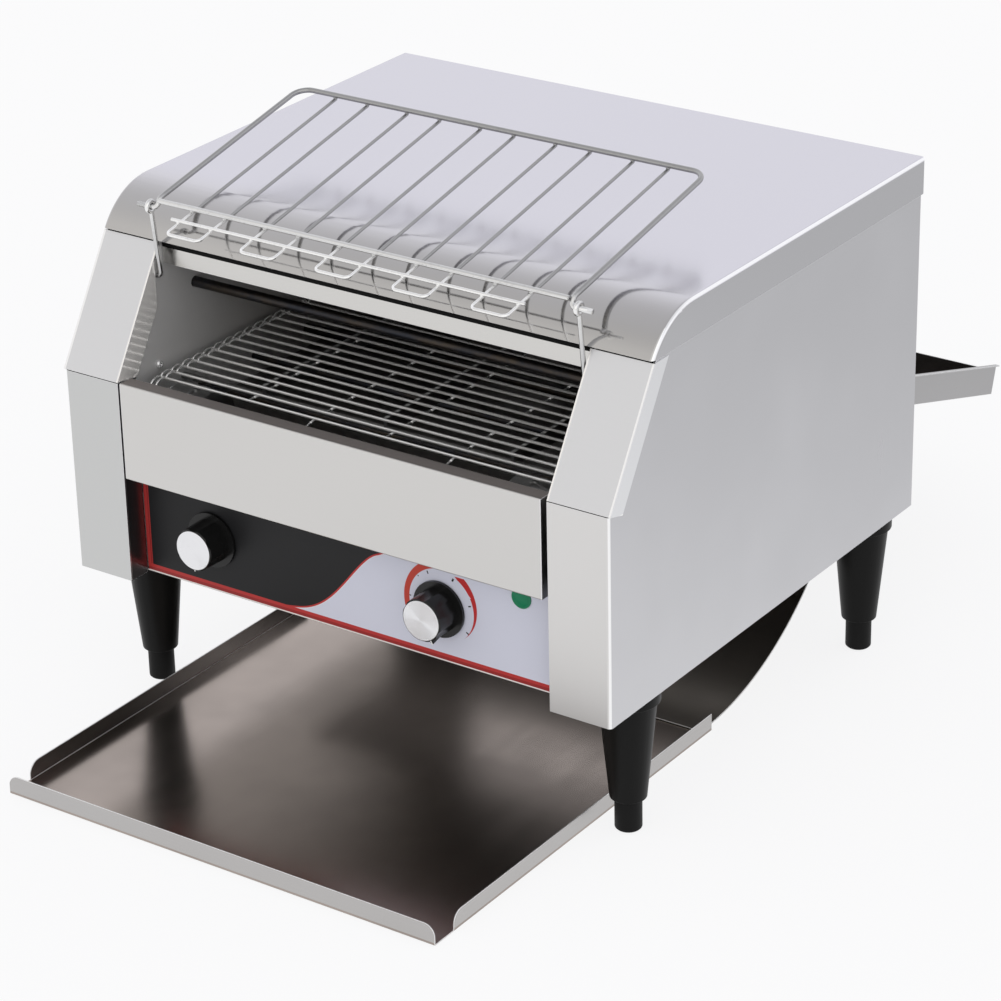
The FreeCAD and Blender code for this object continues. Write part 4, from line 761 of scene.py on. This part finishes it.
class TOASTER_OT_oven(bpy.types.Operator):
    """Finish the heaters, the belt and its drive"""
    bl_idname = "toaster.oven"
    bl_label = "Oven and belt"

    def execute(self, context):
        dress(heater_steel("heater_steel"), "upper_heaters", "lower_heaters")
        dress(turned_metal("belt_steel", (0.92, 0.92, 0.91), 0.2, metal=0.55), "wire_belt")
        dress(turned_metal("rail_steel", (0.36, 0.36, 0.36), 0.3), "belt_rails", "drive_shaft",
              "idler_shaft", "motor_shaft", "rear_tray_runners", "idler_rollers")
        dress(turned_metal("wheel_steel", (0.3, 0.3, 0.3), 0.36), "drive_sprockets",
              "driven_chain_wheel", "motor_chain_wheel", "drive_chain")
        dress(turned_metal("bushing_brass", (0.6, 0.42, 0.18), 0.3), "drive_bushings",
              "idler_bushings")
        dress(moulded_plastic("motor_paint", (0.03, 0.03, 0.032), 0.4), "gear_motor")
        dress(moulded_plastic("switch_plastic", (0.02, 0.02, 0.02), 0.45), "mode_switch",
              "speed_controller", "terminal_block", "cable_gland")
        loops = bmesh.new()
        self.edge_loops(loops)
        piece("belt_edge_loops", loops, "casing",
              turned_metal("loop_steel", (0.95, 0.95, 0.94), 0.16, metal=0.6))
        soften(0, "upper_heaters", "lower_heaters", "wire_belt", "idler_rollers")
        soften(0.3, "drive_shaft", "idler_shaft", "motor_shaft", "rear_tray_runners",
               "belt_rails", "drive_sprockets", "driven_chain_wheel", "motor_chain_wheel",
               "drive_chain", "drive_bushings", "idler_bushings", "gear_motor", "mode_switch",
               "speed_controller", "terminal_block", "cable_gland")
        return {"FINISHED"}

    def edge_loops(self, shape):
        """Bent wire loops that hook each rod of the belt to the next, along both edges."""
        back = BELT_FRONT + BELT_RUN * BELT_PITCH
        upper = [(BELT_FRONT + number * BELT_PITCH, BELT_MIDDLE + BELT_RADIUS)
                 for number in range(BELT_RUN)]
        turns = [math.pi * number / BELT_WRAP for number in range(BELT_WRAP)]
        rear = [(back + BELT_RADIUS * math.sin(turn), BELT_MIDDLE + BELT_RADIUS * math.cos(turn))
                for turn in turns]
        half = upper + rear
        places = half + [(back + BELT_FRONT - y, 2 * BELT_MIDDLE - z) for y, z in half]
        loop = bmesh.new()
        ring = bmesh.ops.create_circle(loop, segments=8, radius=0.8 * MM,
                                       matrix=Matrix.Rotation(math.pi / 2, 4, "Y"))
        bmesh.ops.translate(loop, verts=ring["verts"], vec=(0, BELT_PITCH / 2 * MM, 0))
        bmesh.ops.spin(loop, geom=[*loop.verts, *loop.edges], cent=(0, 0, 0), axis=(0, 0, 1),
                       angle=math.pi, steps=8)
        bmesh.ops.holes_fill(loop, edges=list(loop.edges), sides=8)
        bmesh.ops.rotate(loop, verts=loop.verts, matrix=Matrix.Rotation(-math.pi / 2, 3, "Z"))
        bmesh.ops.scale(loop, verts=loop.verts, vec=(1, 0.5, 1))
        store = bpy.data.meshes.new("belt_edge_loop")
        for number, (y, z) in enumerate(places):
            here = place(0, y, z)
            there = place(0, *places[(number + 1) % len(places)])
            along = (there - here).normalized()
            turn = Matrix((along, Vector((1, 0, 0)).cross(along), (1, 0, 0))).transposed()
            for x in LOOP_PLACES:
                spot = Matrix.Translation((here + there) / 2 + Vector((x * MM, 0, 0)))
                one = loop.copy()
                bmesh.ops.transform(one, verts=one.verts, matrix=spot @ turn.to_4x4())
                one.to_mesh(store)
                one.free()
                shape.from_mesh(store)
        loop.free()
        bpy.data.meshes.remove(store)


class TOASTER_OT_rack(bpy.types.Operator):
    """Finish the wire rack that folds over the top, and weld its crossings"""
    bl_idname = "toaster.rack"
    bl_label = "Rack"

    def execute(self, context):
        names = ("rack_frame", "rack_hairpins", "rack_cross_wires", "right_rack_arm",
                 "left_rack_arm")
        chrome = rack_chrome("rack_chrome", (0.93, 0.93, 0.925), (0.4, 0.4, 0.4))
        dress(chrome, *names)
        soften(0, *names)
        beads = bmesh.new()
        for number in range(HAIRPINS):
            for leg in (-HAIRPIN_HALF, HAIRPIN_HALF):
                x = (number - HAIRPINS // 2) * HAIRPIN_PITCH + leg
                add_bead(beads, on_rack(x, 0, -1.9), (2.1, 1.9, 1.5))
                add_bead(beads, on_rack(x, 175, -1.9), (2.0, 1.9, 1.5))
                add_bead(beads, on_rack(x, -16.5, -1.95), (1.7, 1.5, 1.2))
        piece("rack_welds", beads, "rack", chrome)
        return {"FINISHED"}


class TOASTER_OT_controls(bpy.types.Operator):
    """Finish the printed film, the knobs with their marks, and the lamp"""
    bl_idname = "toaster.controls"
    bl_label = "Controls"

    def execute(self, context):
        dress(printed_film(context.scene.toaster), "panel_overlay")
        plastic = moulded_plastic("knob_plastic", (0.006, 0.006, 0.006), 0.24, 0.35)
        dress(plastic, "mode_knob", "speed_knob")
        aluminium = spun_cap("cap_aluminium", (0.86, 0.86, 0.88))
        dress(lamp_lens("lamp_green", (0.006, 0.21, 0.095)), "indicator_lamp")
        soften(0.3, "mode_knob", "speed_knob")
        soften(0.15, "indicator_lamp")
        self.cap("speed_knob", SPEED_KNOB, aluminium)
        self.cap("mode_knob", MODE_KNOB, aluminium)
        white = enamel("mark_white", (0.85, 0.85, 0.85), 0.35)
        self.pointer("speed_knob", SPEED_KNOB, SPEED_TURN, plastic, white, nib=True)
        self.pointer("mode_knob", MODE_KNOB, MODE_TURN, plastic, white, nib=False)
        return {"FINISHED"}

    def cap(self, knob, middle, aluminium):
        """A knob's metal cap, which reaches nearer to the rim than the CAD's."""
        cap = bmesh.new()
        bmesh.ops.create_cone(cap, cap_ends=True, segments=96, radius1=CAP_RADIUS * MM,
                              radius2=CAP_RADIUS * MM, depth=CAP_THICK * MM)
        rim = [edge for edge in cap.edges
               if len({abs(face.normal.z) > 0.5 for face in edge.link_faces}) == 2]
        bmesh.ops.bevel(cap, geom=rim, offset=0.35 * MM, affect="EDGES", segments=3,
                        profile=0.5, material=-1)
        bmesh.ops.rotate(cap, matrix=Matrix.Rotation(math.radians(90), 3, "X"), verts=cap.verts)
        bmesh.ops.translate(cap, vec=place(middle[0], CAP_FACE, middle[1]), verts=cap.verts)
        disc = piece(f"{knob}_disc", cap, knob, aluminium, smooth=False)
        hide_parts(f"{knob}_cap")

    def pointer(self, knob, middle, degrees, plastic, white, nib):
        """The white mark on a knob's rim, with the small nose that carries it."""
        turn = Matrix.Rotation(math.radians(-degrees), 4, "Y")
        there = Matrix.Translation(place(middle[0], 0, middle[1])) @ turn
        if nib:
            nose = bmesh.new()
            bmesh.ops.create_cube(nose, size=1.0)
            bmesh.ops.scale(nose, vec=Vector(NOSE_SIZE) * MM, verts=nose.verts)
            bmesh.ops.translate(nose, vec=Vector(NOSE_SPOT) * MM, verts=nose.verts)
            tip = [vert for vert in nose.verts if vert.co.x > NOSE_SPOT[0] * MM]
            bmesh.ops.scale(nose, vec=(1, 1, 0.36), verts=tip)
            rear = [vert for vert in tip if vert.co.y > 0]
            bmesh.ops.translate(nose, vec=(-2.2 * MM, 0, 0), verts=rear)
            bmesh.ops.bevel(nose, geom=list(nose.edges), offset=0.7 * MM, affect="EDGES",
                            segments=3, profile=0.5, material=-1)
            bmesh.ops.transform(nose, matrix=there, verts=nose.verts)
            piece(f"{knob}_nose", nose, knob, plastic)
        mark = bmesh.new()
        bmesh.ops.create_cube(mark, size=1.0)
        long, start = (3.4, 15.5) if nib else (1.2, 15.4)
        bmesh.ops.scale(mark, vec=Vector((long, *MARK_SECTION)) * MM, verts=mark.verts)
        bmesh.ops.translate(mark, vec=Vector((start + long / 2, MARK_FACE, 0)) * MM,
                            verts=mark.verts)
        bmesh.ops.bevel(mark, geom=list(mark.edges), offset=0.1 * MM, affect="EDGES",
                        segments=2, profile=0.5, material=-1)
        bmesh.ops.transform(mark, matrix=there, verts=mark.verts)
        piece(f"{knob}_mark", mark, knob, white)


class TOASTER_OT_trays(bpy.types.Operator):
    """Finish the trays and the return chute"""
    bl_idname = "toaster.trays"
    bl_label = "Trays"

    def execute(self, context):
        names = ("front_tray", "rear_tray", "return_chute")
        dress(tray_steel("tray_steel", (0.49, 0.48, 0.475), 0.2, (0.455, 0.44, 0.43),
                         (0.42, 0.365, 0.33)), "front_tray")
        dress(tray_steel("rear_tray_steel", (0.45, 0.445, 0.45), 0.3, (0.43, 0.425, 0.43),
                         (0.1, 0.09, 0.083), behind=True), "rear_tray")
        # The chute is painted dark all over: painted shade, as it lies in the dark under the
        # casing.
        dress(tray_steel("chute_steel", (0.2, 0.185, 0.165), 0.3, (0.15, 0.13, 0.11),
                         (0.2, 0.18, 0.16)), "return_chute")
        # Near-white bevels on the trays' edges: a painted highlight.
        soften(0.3, *names, edge=painted_highlight_steel("tray_painted_highlight_steel", (0.95, 0.95, 0.95)))
        return {"FINISHED"}


class TOASTER_OT_legs(bpy.types.Operator):
    """Finish the legs and their feet"""
    bl_idname = "toaster.legs"
    bl_label = "Legs"

    def execute(self, context):
        legs = [name for name in nodes if name.endswith("_leg")]
        feet = [name for name in nodes if name.endswith("_foot")]
        dress(moulded_plastic("leg_plastic", (0.0035, 0.0035, 0.0034), 0.38, 0.14), *legs)
        dress(moulded_plastic("foot_rubber", (0.004, 0.004, 0.004), 0.5, 0.14), *feet)
        soften(0.5, *legs, *feet)
        return {"FINISHED"}


class TOASTER_OT_fasteners(bpy.types.Operator):
    """Add the screws that hold the sheets, and a black strip as painted shadow under the cover's
    lip
    """
    bl_idname = "toaster.fasteners"
    bl_label = "Fasteners"

    def execute(self, context):
        steel = turned_metal("screw_steel", (0.52, 0.52, 0.52), 0.28)
        rear = bmesh.new()
        for x, z in REAR_SCREWS:
            add_screw(rear, place(x, REAR_SEAT, z), (0, 1, 0), 3.6, 2.2)
        piece("rear_screws", rear, "casing", steel)
        walls = bmesh.new()
        for side in (-1, 1):
            for y, z in WALL_SCREWS:
                add_screw(walls, place(side * WALL_SEAT, y, z), (-side, 0, 0), 3.2, 2.6)
        piece("wall_screws", walls, "casing",
              turned_metal("wall_screw_steel", (0.95, 0.95, 0.95), 0.2, metal=0.6))
        # Painted shadow: a black strip put where the gap under the cover's lip lies in shade.
        shadow_strip = bmesh.new()
        bmesh.ops.create_cube(shadow_strip, size=1.0)
        bmesh.ops.scale(shadow_strip, vec=Vector(SHADOW_STRIP_SIZE) * MM, verts=shadow_strip.verts)
        bmesh.ops.bevel(shadow_strip, geom=list(shadow_strip.edges), offset=0.4 * MM, affect="EDGES",
                        segments=3, profile=0.5, material=-1)
        bmesh.ops.translate(shadow_strip, vec=place(*SHADOW_STRIP_SPOT), verts=shadow_strip.verts)
        piece("mouth_shadow_strip", shadow_strip, "casing",
              moulded_plastic("shadow_strip_black", (0.004, 0.004, 0.004), 0.7, 0.1))
        return {"FINISHED"}


class TOASTER_OT_stage(bpy.types.Operator):
    """Set up the floor, the light and the camera"""
    bl_idname = "toaster.stage"
    bl_label = "Stage"

    def execute(self, context):
        scene = context.scene
        self.floor()
        self.key()
        self.sky(scene)
        lens = bpy.data.cameras.new("Camera")
        lens.lens = CAMERA_LENS
        lens.sensor_width = 36
        lens.clip_start = 0.05
        lens.clip_end = 40
        camera = bpy.data.objects.new("Camera", lens)
        turn = Matrix((CAMERA_RIGHT, CAMERA_UP, CAMERA_BACK)).transposed().to_4x4()
        camera.matrix_world = Matrix.Translation(place(*CAMERA_SPOT)) @ turn
        scene.collection.objects.link(camera)
        scene.camera = camera
        scene.view_settings.view_transform = "Standard"
        return {"FINISHED"}

    def floor(self):
        """Pale floor that stays near white where it shows, and dimmer in reflections behind."""
        mesh = bpy.data.meshes.new("Floor")
        sheet = bmesh.new()
        bmesh.ops.create_grid(sheet, x_segments=1, y_segments=1, size=14)
        bmesh.ops.translate(sheet, verts=sheet.verts, vec=(0, 0, -0.4 * MM))
        sheet.to_mesh(mesh)
        sheet.free()
        floor = bpy.data.objects.new("Floor", mesh)
        bpy.context.scene.collection.objects.link(floor)
        finish = Finish("floor_paper", Base_Color=(0.9, 0.9, 0.905, 1), Roughness=0.9,
                        Specular_IOR_Level=0.1)
        finish.paint(Normal=finish.bump(finish.noise(160, 3.0), 0.0002, 0.1))
        x, y, _ = finish.parts(finish.spot())
        path = finish.node("ShaderNodeLightPath", {}, {}).socket.node
        glossy = Value(finish, path.outputs["Is Glossy Ray"])
        dim = (x * 0.6 + y * 0.8).spread(0.0, 1.2) * glossy * 0.27
        glow = finish.node("ShaderNodeEmission", {}, {
            "Color": (0.985, 0.985, 0.99, 1), "Strength": 1 - dim})
        mixed = finish.node("ShaderNodeMixShader", {}, {
            0: finish.seen() * 0.87, 1: Value(finish, finish.shader.outputs[0]), 2: glow})
        out = finish.tree.nodes["Material Output"]
        finish.tree.links.new(mixed.socket, out.inputs["Surface"])
        mesh.materials.append(finish.material)

    def key(self):
        """One large soft lamp, aimed at the middle of the casing."""
        lamp = bpy.data.lights.new("Key", "AREA")
        lamp.shape = "DISK"
        lamp.size = KEY_SIZE
        lamp.energy = KEY_POWER
        thing = bpy.data.objects.new("Key", lamp)
        thing.location = KEY_SPOT
        aim = Vector((0, 0, 0.2)) - Vector(KEY_SPOT)
        thing.rotation_euler = aim.to_track_quat("-Z", "Y").to_euler()
        bpy.context.scene.collection.objects.link(thing)

    def sky(self, scene):
        """Studio walls: pale all round, dimmer overhead and on the side of the camera."""
        world = bpy.data.worlds.new("Studio")
        world.use_nodes = True
        scene.world = world
        world.node_tree.nodes.clear()
        sky = Shading(world.node_tree)
        here = sky.node("ShaderNodeTexCoord", {}, {}, "Generated")
        x, y, z = sky.parts(here)
        front = (y * -1).spread(0.0, 0.7)
        colour = sky.blend(front, rgba((0.97, 0.97, 1.0)), rgba((0.97, 0.955, 0.94)))
        strength = 0.99 - front * z.spread(0.12, 0.5) * 0.1 - z.spread(0.5, 0.95) * 0.3
        strength = strength - (x * 0.6 + y * 0.8).spread(0.1, 0.9) * z.below(0.2, 0.3) * 0.12
        seen = sky.seen()
        strength = seen * strength + (1 - seen) * 0.92
        light = sky.node("ShaderNodeBackground", {}, {"Color": colour, "Strength": strength})
        out = world.node_tree.nodes.new("ShaderNodeOutputWorld")
        world.node_tree.links.new(light.socket, out.inputs["Surface"])


class TOASTER_PT_panel(bpy.types.Panel):
    """Lists the toaster's pieces and colours"""
    bl_idname = "TOASTER_PT_panel"
    bl_label = "Conveyor toaster"
    bl_space_type = "VIEW_3D"
    bl_region_type = "UI"
    bl_category = "Toaster"

    def draw(self, context):
        settings = context.scene.toaster
        for name in settings.__annotations__:
            self.layout.prop(settings, name)
        for operator in OPERATORS:
            self.layout.operator(operator.bl_idname)


OPERATORS = (TOASTER_OT_casing, TOASTER_OT_oven, TOASTER_OT_rack, TOASTER_OT_controls,
             TOASTER_OT_trays, TOASTER_OT_legs, TOASTER_OT_fasteners, TOASTER_OT_stage)
CLASSES = (ToasterSettings, *OPERATORS, TOASTER_PT_panel)


def register():
    for kind in CLASSES:
        bpy.utils.register_class(kind)
    bpy.types.Scene.toaster = bpy.props.PointerProperty(type=ToasterSettings)


def unregister():
    del bpy.types.Scene.toaster
    for kind in reversed(CLASSES):
        bpy.utils.unregister_class(kind)


def main():
    register()
    bpy.ops.toaster.casing()
    bpy.ops.toaster.oven()
    bpy.ops.toaster.rack()
    bpy.ops.toaster.controls()
    bpy.ops.toaster.trays()
    bpy.ops.toaster.legs()
    bpy.ops.toaster.fasteners()
    bpy.ops.toaster.stage()


if __name__ == "__main__":
    main()
